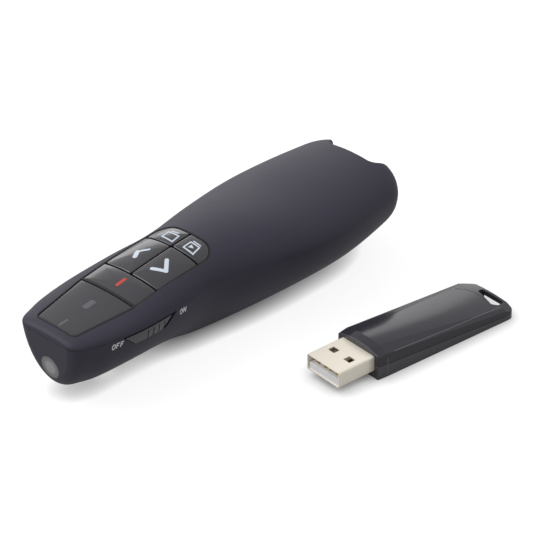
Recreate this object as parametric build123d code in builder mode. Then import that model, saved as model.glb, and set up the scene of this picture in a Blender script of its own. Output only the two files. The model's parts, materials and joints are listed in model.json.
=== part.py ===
from build123d import *
import os
from math import atan, cos, pi, radians, sin, sqrt

# Wireless presentation clicker: a hand-held pointer with five keys, and its plug-in receiver
# lying beside it. +Y runs out of the laser window, +Z is up, and X = 0 is the handset's
# mid-plane. The origin is the centre of the small flat under the belly that it stands on.
# A station is a distance behind the nose tip. All sizes are in millimetres.

# ---------------------------------------------------------------- driving dimensions
# Standard parts that the shells are drawn round
battery_diameter = 10.5
battery_length = 44.5
battery_button_diameter = 3.8
battery_button_height = 1.0
battery_gap = 0.8               # between the two cells
usb_width = 12.0
usb_height = 4.5
usb_reach = 11.8                # plug shell that shows in front of the receiver

# Handset
rest_station = 58.0             # the origin's station
parting_height = 18.6
wall = 1.4
ellipse_rise = 0.668            # shares of height and width at which a six-point Bezier
ellipse_reach = 0.442           # arch has its handles, so that it draws half an ellipse
fuller_rise = 0.2               # added to those shares for a squarer arch
fuller_reach = 0.3
draft = 0.03                    # lean of each shell's side away from the parting line
nose_rake = 6.0                 # degrees that the nose face leans back towards its foot
nose_rake_length = 9.0          # the lean dies out over this length
nose_round = 2.6                # radius of the nose's edge
nose_crown_round = 1.3          # how far that edge lowers the crown
nose_fullness = 0.3             # how much squarer the section gets there than an ellipse
nose_wall = 2.0
tail_round_length = 6.4         # quarter ellipses that round the tail in plan
tail_round_width = 7.4
tail_rim_round = 1.2            # how far the tail's rim comes in below
tail_crown_round = 3.0          # and above, and over which length
tail_fullness = 0.74
tail_wall = 3.2
section_count = 25
seam_gap = 0.1                  # between covers that lie edge to edge
shell_gap = 0.05                # between a fitted inner piece and the shell round it
running_gap = 0.25              # round a part that slides or is pressed

# Scoop in the upper tail that frees the end of the stowed receiver
scoop_half_width = 7.6
scoop_flare = 2.6               # how much wider each side of its mouth is
scoop_depth = 4.6
scoop_corner = 3.0
scoop_rim_round = 0.6

# Battery bay, under the receiver bay
battery_axis_height = 11.1
spring_length = 3.0
spring_wire = 0.5
spring_radius = 2.9
spring_turns = 3
contact_thickness = 0.3
contact_half_width = 3.6
contact_half_height = 3.4
bay_wall = 1.2
battery_setback = 2.7           # from the front of the receiver bay back to this bay
battery_side_gap = 0.55         # from a cell to the bay's side wall

# Battery door
door_setback = 0.7              # from the battery bay's front back to the door's
door_half_width = 11.3
door_top = 9.0                  # height of its seam on the tail face
door_corner = 3.0
door_tongue_reach = 1.6
door_tongue_half_width = 5.0
door_tongue_thickness = 1.0

# Receiver
receiver_length = 46.9
receiver_front_half_width = 7.8
receiver_tail_half_width = 9.0
receiver_shoulder = 6.9         # height of its sides behind the collar
receiver_tail_shoulder = 2.9
receiver_bevel_width = 3.6      # from its sides in to the crowned top
receiver_tail_bevel_width = 1.2
receiver_bevel_rise = 0.9
receiver_tail_bevel_rise = 0.4
receiver_crown_rise = 0.3
receiver_seam = 3.9             # height of the seam at the collar
receiver_seam_drop = 2.6        # from there to the tail
receiver_wall = 1.0
receiver_front_wall = 1.4
receiver_board_front = 6.2
receiver_board_setback = 4.3    # from its end to the end of the room inside
receiver_board_half_width = 5.4
receiver_board_low = 1.9
receiver_board_thickness = 0.8
receiver_rib_half_width = 4.5
# Parts on the receiver's board: X, distance behind its collar, width, length and height
receiver_parts = {
    "receiver_chip": (0.6, 14.0, 5.0, 5.0, 0.9),
    "receiver_crystal": (-1.0, 21.5, 5.4, 2.6, 1.3),
    "receiver_memory": (1.2, 27.0, 4.0, 5.0, 1.2),
}
usb_sheet = 0.3                 # of the plug's folded steel
usb_corner = 0.5
plug_middle = 4.15              # its height over the table
plug_seat = 4.4                 # of the plug inside the receiver
latch_offset = 2.9
latch_back = 6.2
latch_width = 2.3
latch_length = 2.1
tongue_setback = 0.3
tongue_thickness = 1.85
contact_offsets = (-3.5, -1.0, 1.0, 3.5)
contact_strip_width = 1.0
contact_strip_length = 7.4
contact_strip_thickness = 0.15
contact_back = 1.2
receiver_collar_length = 3.0
receiver_collar_tuck = 0.25     # how much its front comes in at each side
receiver_collar_drop = 0.3      # and at the top
receiver_tail_round = 2.0
receiver_tail_slope_length = 3.2    # its end comes down over this length
receiver_tail_drop = 1.2            # at its sides
receiver_tail_flare = 2.0           # while its bevels get this much wider
receiver_tail_lift = 0.9            # and higher
receiver_setback = 1.4          # of its end inside the tail when it is stowed
receiver_place = (-45.6, -5.79) # centre of the collar's front, on the table
receiver_yaw = -5.8             # degrees about +Z
lanyard_bar = 0.8
lanyard_bar_low = 1.9           # its underside
lanyard_corner = 0.5
lanyard_rim = 1.6               # from the slot to the room inside
# Corners of the lanyard slot: across the receiver, and distance from its end
lanyard_slot = [(-4.6, 4.5), (2.4, 2.4), (2.4, lanyard_bar), (-5.6, lanyard_bar), (-5.9, 3.3)]

# Receiver bay in the tail, over the batteries
divider = 0.5
bay_side_gap = 0.4
bay_top_gap = 0.2
bay_end_gap = 0.3
tray_wall = 0.9
tray_wall_height = 5.2

# Keypad
keypad_front = 2.9
panel_length = 17.9
laser_key_length = 8.0
arrow_key_length = 14.3
screen_key_length = 7.3
keypad_front_half_width = 7.0
keypad_half_width = 9.75
keypad_corner = 1.6
keypad_end_corner = 5.2
key_gap = 0.42                  # between two keys, and between a key and the shell
key_corner = 0.5
key_recess = 0.12               # keys lie this far under the shell's own surface
cap_depth = 3.2                 # from the keypad plane down to the caps' undersides
key_travel = 0.5
guide_gap = 0.9                 # from the caps to the guide plate
guide_thickness = 1.0
guide_half_width = 11.2
guide_leg_setback = 2.2         # of the front legs from the arrow keys' front
guide_end_leg_setback = 3.1     # of the rear legs from the keypad's end
guide_leg_offset = 7.9
guide_leg_width = 0.9
guide_leg_length = 3.0
stem_size = 3.0
stem_gap = 0.25
panel_depth = 2.4               # from the keypad plane down to the indicator panel's back
panel_gap = 0.25
panel_floor = 1.0               # of the shell under the indicator panel
lamp_hole_radius = 1.2

# Circuit board, parallel to the keypad
board_depth = 7.6               # from the keypad plane down to the board's top
board_thickness = 1.0
board_front_setback = 6.1       # from the keypad's front
board_end_setback = 1.4         # from the keypad's end
board_half_width = 8.4
board_post_radius = 1.7
board_post_offset = 6.2
board_post_setback = 4.0        # of the front posts from the laser key's front
board_end_post_setback = 1.75   # of the rear posts from the screen keys' front
switch_body_size = 4.5
switch_body_height = 2.0
plunger_diameter = 2.0
plunger_gap = 0.05
lamp_setbacks = (8.3, 11.1)     # of the two lamps from the keypad's front
lamp_size = 1.6
lamp_height = 1.2
board_screw_head_radius = 1.6
board_screw_head_height = 0.8
capacitor_count = 5
capacitor_x = 6.8
capacitor_setback = 6.8         # of the first one from the laser key's front
capacitor_pitch = 2.6
capacitor_length = 2.0
capacitor_width = 1.2
capacitor_height = 0.8
# Parts under the board: X, distance behind the laser key's front, width, length and height
board_parts = {
    "control_chip": (-1.2, 8.8, 7.0, 7.0, 1.6),
    "radio_chip": (-1.0, 18.7, 5.0, 5.0, 0.9),
    "board_crystal": (-6.3, 15.0, 2.6, 5.4, 1.4),
}

# Laser
laser_lip = 0.8
laser_aperture_radius = 1.3
window_recess = 0.15
laser_axis_height = 9.5
laser_front = 3.4
laser_length = 10.6
laser_radius = 2.7
laser_bore_radius = 2.1
laser_fit = 0.05
diode_radius = 1.6
diode_length = 3.2
diode_flange = 1.0
collimator_length = 2.0
holder_wall = 1.1
holder_length = 6.5
holder_foot_half_width = 1.6
window_radius = 3.2
window_thickness = 1.4
window_dome = 0.3

# Power slide switch on the -X side
pocket_front = 15.2             # stations of the pocket's ends at mid height
pocket_end = 29.55
pocket_below_parting = 0.3
pocket_height = 3.4
pocket_slant = 3.7              # how far its top is behind its foot
pocket_depth = 1.5
pocket_back = 1.0               # wall behind the pocket
slider_length = 12.4
slider_proud = 0.2
slider_travel = 1.5
slider_gap = 0.2
ridge_count = 4
ridge_setback = 2.1             # of the ridges from the slider's middle
ridge_pitch = 1.9
ridge_width = 0.6
ridge_depth = 0.35
ridge_margin = 0.5
toggle_length = 3.0
toggle_height = 1.2
switch_length = 9.0
switch_width = 2.8
switch_height = 2.2
switch_slot_depth = 1.6

# Screws that join the shells, on the mid-plane
screw_setback = 3.1             # of the front screw from the laser key's front, forwards
screw_radius = 0.9
screw_head_radius = 1.6
screw_head_height = 1.1
screw_head_recess = 2.4         # from the belly up to the head
screw_grip = 1.4                # plastic between the head and the upper boss
screw_bite = 6.0
bore_past = 0.5                 # of its bore past its tip
boss_radius = 1.7
boss_gap = 0.4                  # from the rear boss to the keypad and to the receiver bay
over_cut = 5.0                  # how far a cut through the crown runs past it


def along(station):
    """Y of a station."""
    return rest_station - station


def across(station):
    """Plane square to the handset's length at a station: its x is X and its y is Z."""
    return Plane.XZ.offset(-along(station))


# ---------------------------------------------------------------- derived sizes
battery_radius = battery_diameter / 2
battery_offset = battery_radius + battery_gap / 2
laser_key_front = keypad_front + panel_length
arrow_keys_front = laser_key_front + laser_key_length
screen_keys_front = arrow_keys_front + arrow_key_length
keypad_end = screen_keys_front + screen_key_length
bay_front = keypad_end + 2 * boss_radius + 2 * boss_gap
handset_length = bay_front + bay_end_gap + usb_reach + receiver_length + receiver_setback
screw_stations = (laser_key_front - screw_setback, bay_front - boss_gap - boss_radius)
board_post_stations = (laser_key_front + board_post_setback, screen_keys_front - board_end_post_setback)
guide_leg_stations = (arrow_keys_front + guide_leg_setback, keypad_end - guide_end_leg_setback)
lamp_stations = [keypad_front + setback for setback in lamp_setbacks]
battery_bay_front = bay_front + battery_setback
door_front = battery_bay_front + door_setback
battery_bay_length = battery_length + spring_length + contact_thickness
battery_bay_end = battery_bay_front + battery_bay_length
battery_bay_half_width = battery_offset + battery_radius + battery_side_gap
receiver_thickness = receiver_shoulder + receiver_bevel_rise + receiver_crown_rise
divider_bottom = battery_axis_height + battery_radius + 0.1
bay_floor = divider_bottom + divider
bay_ceiling = bay_floor + receiver_thickness + bay_top_gap
bay_half_width = receiver_tail_half_width + bay_side_gap
palm_half_width = battery_offset + battery_radius + 8.4
tail_crown = bay_ceiling + 1.2
pocket_high = parting_height - pocket_below_parting
pocket_low = pocket_high - pocket_height

# Side and top outline of the handset before its ends are rounded: station, half width,
# crown height, belly height, and how much squarer than an ellipse its upper half is
outline = [
    (0.0, 9.9, parting_height + 1.9, 4.1, 1.0),
    (9.0, 12.9, parting_height + 2.8, 3.1, 1.0),
    (20.0, 14.3, parting_height + 4.15, 3.3, 1.0),
    (33.0, 13.9, parting_height + 6.3, 2.65, 1.0),
    (46.0, 13.1, parting_height + 7.7, -0.35, 1.0),
    (handset_length - 53, 16.2, tail_crown + 0.5, -0.4, 0.75),
    (handset_length - 35, palm_half_width, tail_crown - 0.1, 0.8, 0.5),
    (handset_length - 19, palm_half_width - 0.25, tail_crown - 0.1, 1.6, 0.55),
    (handset_length, palm_half_width - 2.6, tail_crown, 5.8, 0.6),
]


def blend_outline(station):
    """The outline's four sizes at a station, on smooth curves through it."""
    last = len(outline) - 2
    span = max(i for i in range(last + 1) if i == 0 or outline[i][0] <= station)
    before, start = outline[max(span - 1, 0)], outline[span]
    end, after = outline[span + 1], outline[min(span + 2, last + 1)]
    length = end[0] - start[0]
    share = (station - start[0]) / length
    sizes = []
    for i in (1, 2, 3, 4):
        slope_in = (end[i] - before[i]) / (end[0] - before[0])
        slope_out = (after[i] - start[i]) / (after[0] - start[0])
        chord = end[i] - start[i]
        bend = (slope_in * length - chord) * (1 - share) - (slope_out * length - chord) * share
        sizes.append(start[i] + chord * share + share * (1 - share) * bend)
    return sizes


def round_off(depth, reach):
    """How far a quarter ellipse, 1 high, has come in at a depth from its tip."""
    return 1 - sqrt(max(0.0, 1 - max(0.0, 1 - depth / reach) ** 2))


def leaning(station):
    """Plane across the handset at the parting height, raked near the nose like its face."""
    lean = radians(nose_rake) * max(0.0, 1 - station / nose_rake_length)
    return Plane(
        origin=(0, along(station), parting_height),
        x_dir=(1, 0, 0),
        z_dir=(0, -cos(lean), sin(lean)),
    )


def draw_section(station, inset):
    """Cross-section of the handset at a station, inset from its outside."""
    half_width, crown, belly, squareness = blend_outline(station)
    nose = round_off(station, nose_round)
    tail = round_off(handset_length - station, tail_round_length)
    tail_rim = round_off(handset_length - station, tail_rim_round)
    tail_top = round_off(handset_length - station, tail_crown_round)
    half_width -= nose_round * nose + tail_round_width * tail
    crown -= nose_crown_round * nose + tail_crown_round * tail_top
    belly += nose_round * nose + tail_rim_round * tail_rim
    fullness = nose_fullness * nose + tail * tail_fullness
    side = half_width - inset
    top = crown - inset - parting_height
    bottom = belly + inset - parting_height
    with BuildSketch(leaning(station)) as section:
        with BuildLine():
            for height, square in ((top, fullness + squareness), (bottom, fullness)):
                reach = side * (ellipse_reach + fuller_reach * square)
                rise = ellipse_rise + fuller_rise * square
                level = 1.6 - rise / 2      # of the middle points, so that the arch is 1 high
                tuck = draft * rise * abs(height)
                Bezier(
                    (side, 0),
                    (side - tuck, rise * height),
                    (reach, level * height),
                    (-reach, level * height),
                    (tuck - side, rise * height),
                    (-side, 0),
                )
        make_face()
    return section.sketch


def handset_form(front, end, inset):
    """Solid form of the handset between two stations, inset evenly from its outside."""
    turns = [pi * i / (section_count - 1) for i in range(section_count)]
    stations = [front + (end - front) * (1 - cos(turn)) / 2 for turn in turns]
    with BuildPart() as form:
        loft([draw_section(station, inset) for station in stations])
    return form.part


# Plane of the keypad: from the crown at its front to the crown at its end
keypad_middle = (keypad_front + keypad_end) / 2
front_crown = blend_outline(keypad_front)[1]
end_crown = blend_outline(keypad_end)[1]
keypad_slope = atan((end_crown - front_crown) / (keypad_end - keypad_front))
keypad_plane = Plane(
    origin=(0, along(keypad_middle), (front_crown + end_crown) / 2),
    x_dir=(1, 0, 0),
    z_dir=(0, sin(keypad_slope), cos(keypad_slope)),
)
guide_top = cap_depth + guide_gap           # depths under the keypad plane
guide_bottom = guide_top + guide_thickness
switch_top = board_depth - switch_body_height
board_bottom = board_depth + board_thickness
plunger_top = guide_bottom + plunger_gap


def keypad_y(station):
    """A station measured along the keypad plane."""
    return (keypad_middle - station) / cos(keypad_slope)


def keypad_point(x, station, depth):
    """A point of the keypad given by its station and its depth under the keypad plane."""
    return keypad_plane.from_local_coords(Vector(x, keypad_y(station), -depth))


def draw_keypad(depth, inset):
    """The whole keypad's outline on a plane under the keypad plane, drawn inset."""
    y_front = keypad_y(keypad_front)
    y_wide = keypad_y(laser_key_front)
    y_end = keypad_y(keypad_end)
    with BuildSketch(keypad_plane.offset(-depth)) as outline_sketch:
        with BuildLine():
            Polyline(
                (-keypad_front_half_width, y_front),
                (keypad_front_half_width, y_front),
                (keypad_half_width, y_wide),
                (keypad_half_width, y_end),
                (-keypad_half_width, y_end),
                (-keypad_half_width, y_wide),
                close=True,
            )
        make_face()
        corners = outline_sketch.vertices().group_by(Axis.Y)
        fillet(corners[-1], keypad_corner)
        fillet(outline_sketch.vertices().group_by(Axis.Y)[0], keypad_end_corner)
        if inset:
            offset(amount=-inset)
    return outline_sketch


def draw_cell(depth, front, end, left, right):
    """The part of the keypad between two stations and two X values, a key gap clear all round."""
    y_front = keypad_y(front) - (key_gap / 2 if front > keypad_front else -key_gap)
    y_end = keypad_y(end) + (key_gap / 2 if end < keypad_end else -key_gap)
    with BuildSketch(keypad_plane.offset(-depth)) as cell:
        add(draw_keypad(depth, key_gap).sketch_local)
        with Locations(((left + right) / 2, (y_front + y_end) / 2)):
            RectangleRounded(right - left, y_front - y_end, key_corner, mode=Mode.INTERSECT)
    return cell


# The five keys: stations of their front and end edges, and their X values
middle_gap = key_gap / 2
key_cells = {
    "laser_key": (laser_key_front, arrow_keys_front, -keypad_half_width, keypad_half_width),
    "next_key": (arrow_keys_front, screen_keys_front, -keypad_half_width, -middle_gap),
    "previous_key": (arrow_keys_front, screen_keys_front, middle_gap, keypad_half_width),
    "start_show_key": (screen_keys_front, keypad_end, -keypad_half_width, -middle_gap),
    "blank_screen_key": (screen_keys_front, keypad_end, middle_gap, keypad_half_width),
}


def key_centre(cell):
    """X and station of the middle of a key, where its stem and switch are."""
    front, end, left, right = cell
    return (left + right) / 2, (front + end) / 2


os.makedirs("parts", exist_ok=True)

# ---------------------------------------------------------------- forms that pieces are cut from
with BuildPart() as outside:
    add(handset_form(0.0, handset_length, 0.0))
    tail_y = along(handset_length)
    mouth_half_width = scoop_half_width + scoop_flare
    with BuildSketch(Plane.XY.offset(parting_height)):
        with BuildLine():
            FilletPolyline(
                (-mouth_half_width, tail_y),
                (-scoop_half_width, tail_y + scoop_depth),
                (scoop_half_width, tail_y + scoop_depth),
                (mouth_half_width, tail_y),
                radius=scoop_corner,
            )
            Polyline(
                (mouth_half_width, tail_y),
                (mouth_half_width, tail_y - scoop_depth),
                (-mouth_half_width, tail_y - scoop_depth),
                (-mouth_half_width, tail_y),
            )
        make_face()
    extrude(amount=tail_crown, mode=Mode.SUBTRACT)
    rim = [edge for edge in edges().filter_by_position(Axis.Z, parting_height + 1, 2 * tail_crown)
           if edge.bounding_box().max.Y < tail_y + scoop_depth + 1 and abs(edge.center().X) < mouth_half_width]
    fillet(rim, scoop_rim_round)
    # The flat that it stands on
    split(bisect_by=Plane.XY, keep=Keep.TOP)

# The space inside the shells
hollow = handset_form(nose_wall, handset_length - tail_wall, wall)
fitted = handset_form(nose_wall, handset_length - tail_wall, wall + shell_gap)
buried = handset_form(nose_wall / 2, handset_length - tail_wall / 2, wall / 2)

# ---------------------------------------------------------------- blocks shared by the shells
def upright_block(half_width, front, end, low, high, corner=0.0):
    """Block on the mid-plane between two stations and two heights."""
    with BuildPart() as block:
        with BuildSketch(Plane.XY.offset(low)):
            with Locations((0, (along(front) + along(end)) / 2)):
                if corner:
                    RectangleRounded(2 * half_width, end - front, corner)
                else:
                    Rectangle(2 * half_width, end - front)
        extrude(amount=high - low)
    return block.part


def pocket_block(x_outer, x_inner, clearance, front, end):
    """Slanted block of the power switch between two X values, drawn clear of its edges."""
    low = pocket_low + clearance
    high = pocket_high - clearance
    lean = pocket_slant * (high - low) / (pocket_high - pocket_low)
    y_front = along(front) - clearance
    y_end = along(end) + clearance
    with BuildPart() as block:
        with BuildSketch(Plane.YZ.offset(x_outer)):
            with BuildLine():
                Polyline(
                    (y_front - lean / 2, low),
                    (y_front + lean / 2, high),
                    (y_end - lean / 2, high),
                    (y_end + lean / 2, low),
                    close=True,
                )
            make_face()
        extrude(amount=x_inner - x_outer)
    return block.part


# Sections of the receiver: distance behind its collar's front, half width, height of its
# sides, and width and rise of the bevels between them and its crowned top
receiver_sections = [
    (0.0, receiver_front_half_width - receiver_collar_tuck, receiver_shoulder - receiver_collar_drop,
     receiver_bevel_width, receiver_bevel_rise),
    (receiver_collar_length, receiver_front_half_width, receiver_shoulder,
     receiver_bevel_width, receiver_bevel_rise),
    (receiver_length - receiver_tail_slope_length, receiver_tail_half_width, receiver_tail_shoulder,
     receiver_tail_bevel_width, receiver_tail_bevel_rise),
    (receiver_length, receiver_tail_half_width, receiver_tail_shoulder - receiver_tail_drop,
     receiver_tail_bevel_width + receiver_tail_flare, receiver_tail_bevel_rise + receiver_tail_lift),
]


def receiver_sizes(distance):
    """The receiver's half width, side height, bevel width and bevel rise at a distance."""
    behind = distance > receiver_collar_length
    start, end = receiver_sections[1:3] if behind else receiver_sections[:2]
    share = (distance - start[0]) / (end[0] - start[0])
    return [a + (b - a) * share for a, b in zip(start[1:], end[1:])]


def draw_receiver_section(plane, sizes, foot=0.0, clearance=0.0):
    """Section of the stowed or the free receiver: flat foot, upright sides, bevels and a crown."""
    half_width, shoulder, bevel_width, bevel_rise = sizes
    side = half_width + clearance
    low = foot - clearance
    outer = foot + shoulder + clearance
    inner = outer + bevel_rise
    with BuildSketch(plane) as section:
        with BuildLine():
            Polyline(
                (side - bevel_width, inner),
                (side, outer),
                (side, low),
                (-side, low),
                (-side, outer),
                (bevel_width - side, inner),
            )
            ThreePointArc(
                (bevel_width - side, inner),
                (0, inner + receiver_crown_rise),
                (side - bevel_width, inner),
            )
        make_face()
    return section.sketch


# Way in for the stowed receiver, through the tail to the end of its bay
bay_sizes = (receiver_tail_half_width, receiver_shoulder, receiver_bevel_width, receiver_bevel_rise)
with BuildPart() as bay_mouth:
    mouth_plane = across(handset_length + 1)
    extrude(draw_receiver_section(mouth_plane, bay_sizes, bay_floor, bay_top_gap),
            amount=bay_front - handset_length - 1)

pocket_floor_x = -(blend_outline((pocket_front + pocket_end) / 2)[0] - pocket_depth)
pocket_back_x = pocket_floor_x + pocket_back
slider_middle = pocket_front + slider_gap + slider_length / 2
toggle_height_z = (pocket_low + pocket_high) / 2 - 0.2
board_underside = keypad_plane.offset(-board_bottom)
panel_seat_front = keypad_front + 3.0


def post_top(station):
    """Height at which a screw post of the lower shell meets the boss of the upper one."""
    return blend_outline(station)[2] + screw_head_recess + screw_head_height + screw_grip


# The inside of the upper shell and, below the parting plane, the room between the lower walls
with BuildPart() as above:
    add(buried)
    split(bisect_by=Plane.XY.offset(parting_height), keep=Keep.TOP)
    add(fitted)
buried_above = above.part


door_clear = handset_form(nose_wall, handset_length - tail_wall, wall + seam_gap)
tongue_clear = handset_form(nose_wall, handset_length - tail_wall, wall + seam_gap + door_tongue_thickness)

# ---------------------------------------------------------------- lower shell
with BuildPart() as bottom_shell:
    add(outside.part)
    split(bisect_by=Plane.XY.offset(parting_height), keep=Keep.BOTTOM)
    add(hollow, mode=Mode.SUBTRACT)
    # Posts that carry the circuit board, cut off at its underside
    with BuildPart(mode=Mode.PRIVATE) as posts:
        with BuildSketch(Plane.XY):
            for station in board_post_stations:
                post_y = keypad_point(0, station, board_bottom).Y
                with Locations((-board_post_offset, post_y), (board_post_offset, post_y)):
                    Circle(board_post_radius)
        extrude(amount=end_crown)
        split(bisect_by=board_underside, keep=Keep.BOTTOM)
        add(buried, mode=Mode.INTERSECT)
    add(posts.part)
    # Battery bay: end walls, side walls up to the divider, all growing out of the shell
    bay_outer = battery_bay_half_width + bay_wall
    bay_low = outline[5][3] - 1
    with BuildPart(mode=Mode.PRIVATE) as bay_walls:
        add(upright_block(bay_outer, battery_bay_front - bay_wall, battery_bay_end + bay_wall,
                          bay_low, divider_bottom))
        add(upright_block(battery_bay_half_width, battery_bay_front, battery_bay_end,
                          bay_low, divider_bottom), mode=Mode.SUBTRACT)
        add(buried, mode=Mode.INTERSECT)
    add(bay_walls.part)
    # Opening of the battery door with a slot for its tongue, and the mouth of the receiver bay
    with BuildPart(mode=Mode.PRIVATE) as door_opening:
        add(upright_block(door_half_width, door_front, handset_length + 2 * door_corner,
                          bay_low, door_top, door_corner))
        add(door_clear, mode=Mode.SUBTRACT)
    add(door_opening.part, mode=Mode.SUBTRACT)
    with BuildPart(mode=Mode.PRIVATE) as tongue_slot:
        add(upright_block(door_tongue_half_width + seam_gap, door_front - door_tongue_reach - seam_gap,
                          door_front, bay_low, battery_axis_height))
        add(hollow, mode=Mode.INTERSECT)
        add(handset_form(nose_wall, handset_length - tail_wall,
                         wall + 2 * seam_gap + door_tongue_thickness), mode=Mode.SUBTRACT)
    add(tongue_slot.part, mode=Mode.SUBTRACT)
    add(bay_mouth.part, mode=Mode.SUBTRACT)
    # Laser holder on its foot, and the bore for barrel and window
    with BuildPart(mode=Mode.PRIVATE) as holder:
        holder_end = laser_front + holder_length
        add(upright_block(holder_foot_half_width, laser_front - 1, holder_end, bay_low, laser_axis_height))
        with BuildSketch(across(laser_front - 2)):
            with Locations((0, laser_axis_height)):
                Circle(laser_radius + laser_fit + holder_wall)
        extrude(amount=holder_length + 2)
        add(buried, mode=Mode.INTERSECT)
    add(holder.part)
    with BuildSketch(across(window_thickness)):
        with Locations((0, laser_axis_height)):
            Circle(laser_radius + laser_fit)
    extrude(amount=holder_length + laser_front, mode=Mode.SUBTRACT)
    with BuildSketch(across(-1)):
        with Locations((0, laser_axis_height)):
            Circle(window_radius + laser_fit)
    extrude(amount=window_thickness + 1.8, mode=Mode.SUBTRACT)
    # Pocket of the power switch, with its thick back and the slot for the slider's fork
    with BuildPart(mode=Mode.PRIVATE) as pocket_pad:
        add(pocket_block(-2 * palm_half_width, pocket_back_x, -pocket_back,
                         pocket_front, pocket_end))
        add(outside.part, mode=Mode.INTERSECT)
    add(pocket_pad.part)
    split(bisect_by=Plane.XY.offset(parting_height), keep=Keep.BOTTOM)
    add(pocket_block(-2 * palm_half_width, pocket_floor_x, 0, pocket_front, pocket_end),
        mode=Mode.SUBTRACT)
    with BuildSketch(Plane.YZ.offset(pocket_floor_x - 1)):
        with Locations((along(slider_middle + slider_travel / 2), toggle_height_z)):
            Rectangle(toggle_length + slider_travel + 2 * running_gap, toggle_height + 2 * running_gap)
    extrude(amount=pocket_back + 2, mode=Mode.SUBTRACT)
    # Screw posts: a bore for the shank and a deep recess for the head
    for station in screw_stations:
        belly = blend_outline(station)[2]
        seat = post_top(station) - screw_grip
        with BuildPart(mode=Mode.PRIVATE) as post:
            with BuildSketch(Plane.XY.offset(belly - 1)):
                with Locations((0, along(station))):
                    Circle(screw_head_radius + screw_grip)
            extrude(amount=seat + screw_grip - belly + 1)
            add(buried, mode=Mode.INTERSECT)
        add(post.part)
        with BuildSketch(Plane.XY.offset(belly - 1)):
            with Locations((0, along(station))):
                Circle(screw_head_radius + running_gap)
        extrude(amount=seat - belly + 1, mode=Mode.SUBTRACT)
        with BuildSketch(Plane.XY.offset(belly - 1)):
            with Locations((0, along(station))):
                Circle(screw_radius + shell_gap)
        extrude(amount=seat + screw_grip - belly + 1, mode=Mode.SUBTRACT)
bottom_shell.part.label = "bottom_shell"
export_step(bottom_shell.part, "parts/bottom_shell.step")

# ---------------------------------------------------------------- upper shell
with BuildPart() as top_shell:
    add(outside.part)
    split(bisect_by=Plane.XY.offset(parting_height), keep=Keep.TOP)
    add(hollow, mode=Mode.SUBTRACT)
    extrude(draw_keypad(guide_top, 0).sketch, amount=guide_top + over_cut, mode=Mode.SUBTRACT)
    # Floor under the indicator panel, with holes over the two lamps
    with BuildPart(mode=Mode.PRIVATE) as panel_seat:
        with BuildSketch(keypad_plane.offset(-panel_depth)):
            with Locations((0, keypad_y((panel_seat_front + laser_key_front - key_gap) / 2))):
                Rectangle(2 * palm_half_width, laser_key_front - key_gap - panel_seat_front)
        extrude(amount=-panel_floor)
        add(buried_above, mode=Mode.INTERSECT)
        with BuildSketch(keypad_plane):
            for station in lamp_stations:
                with Locations((0, keypad_y(station))):
                    Circle(lamp_hole_radius)
        extrude(amount=-guide_bottom, mode=Mode.SUBTRACT)
    add(panel_seat.part)
    # Bosses that take the screws
    for station, ceiling in zip(screw_stations, (panel_depth, -end_crown)):
        boss_low = post_top(station) + seam_gap
        with BuildPart(mode=Mode.PRIVATE) as boss:
            with BuildSketch(Plane.XY.offset(boss_low)):
                with Locations((0, along(station))):
                    Circle(boss_radius)
            extrude(amount=2 * end_crown)
            split(bisect_by=keypad_plane.offset(-ceiling), keep=Keep.BOTTOM)
            add(buried, mode=Mode.INTERSECT)
        add(boss.part)
        with BuildSketch(Plane.XY.offset(boss_low - 1)):
            with Locations((0, along(station))):
                Circle(screw_radius + shell_gap)
        extrude(amount=1 + screw_bite + bore_past, mode=Mode.SUBTRACT)
    add(bay_mouth.part, mode=Mode.SUBTRACT)
top_shell.part.label = "top_shell"
export_step(top_shell.part, "parts/top_shell.step")

# ---------------------------------------------------------------- battery door
with BuildPart() as battery_door:
    add(outside.part)
    add(hollow, mode=Mode.SUBTRACT)
    add(upright_block(door_half_width - seam_gap, door_front + seam_gap,
                      handset_length + 2 * door_corner, bay_low, door_top - seam_gap,
                      door_corner - seam_gap), mode=Mode.INTERSECT)
    # Tongue that hooks in front of the opening, over the lower shell
    with BuildPart(mode=Mode.PRIVATE) as tongue:
        add(upright_block(door_tongue_half_width, door_front - door_tongue_reach,
                          door_front + door_tongue_reach, bay_low, battery_axis_height))
        add(door_clear, mode=Mode.INTERSECT)
        add(upright_block(door_tongue_half_width, door_front + 2 * seam_gap,
                          door_front + door_tongue_reach, bay_low, battery_axis_height))
        add(buried, mode=Mode.INTERSECT)
        add(tongue_clear, mode=Mode.SUBTRACT)
    add(tongue.part)
battery_door.part.label = "battery_door"
export_step(battery_door.part, "parts/battery_door.step")

# ---------------------------------------------------------------- indicator panel
key_surface = handset_form(0.0, handset_length, key_recess)
with BuildPart() as indicator_panel:
    with BuildSketch(keypad_plane.offset(-panel_depth)) as panel_outline:
        add(draw_keypad(panel_depth, panel_gap).sketch_local)
        y_panel_front = keypad_y(keypad_front) + 1
        y_panel_end = keypad_y(laser_key_front) + key_gap / 2
        with Locations((0, (y_panel_front + y_panel_end) / 2)):
            Rectangle(3 * keypad_half_width, y_panel_front - y_panel_end, mode=Mode.INTERSECT)
    extrude(amount=panel_depth + over_cut)
    add(key_surface, mode=Mode.INTERSECT)
indicator_panel.part.label = "indicator_panel"
export_step(indicator_panel.part, "parts/indicator_panel.step")

# ---------------------------------------------------------------- keys with their stems
for key_name, cell in key_cells.items():
    stem_x, stem_station = key_centre(cell)
    with BuildPart() as key:
        extrude(draw_cell(cap_depth, *cell).sketch, amount=cap_depth + over_cut)
        add(key_surface, mode=Mode.INTERSECT)
        with BuildSketch(keypad_plane.offset(-cap_depth)):
            with Locations((stem_x, keypad_y(stem_station))):
                Rectangle(stem_size, stem_size)
        extrude(amount=-(guide_bottom - cap_depth))
    key.part.label = key_name
    export_step(key.part, f"parts/{key_name}.step")

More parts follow.
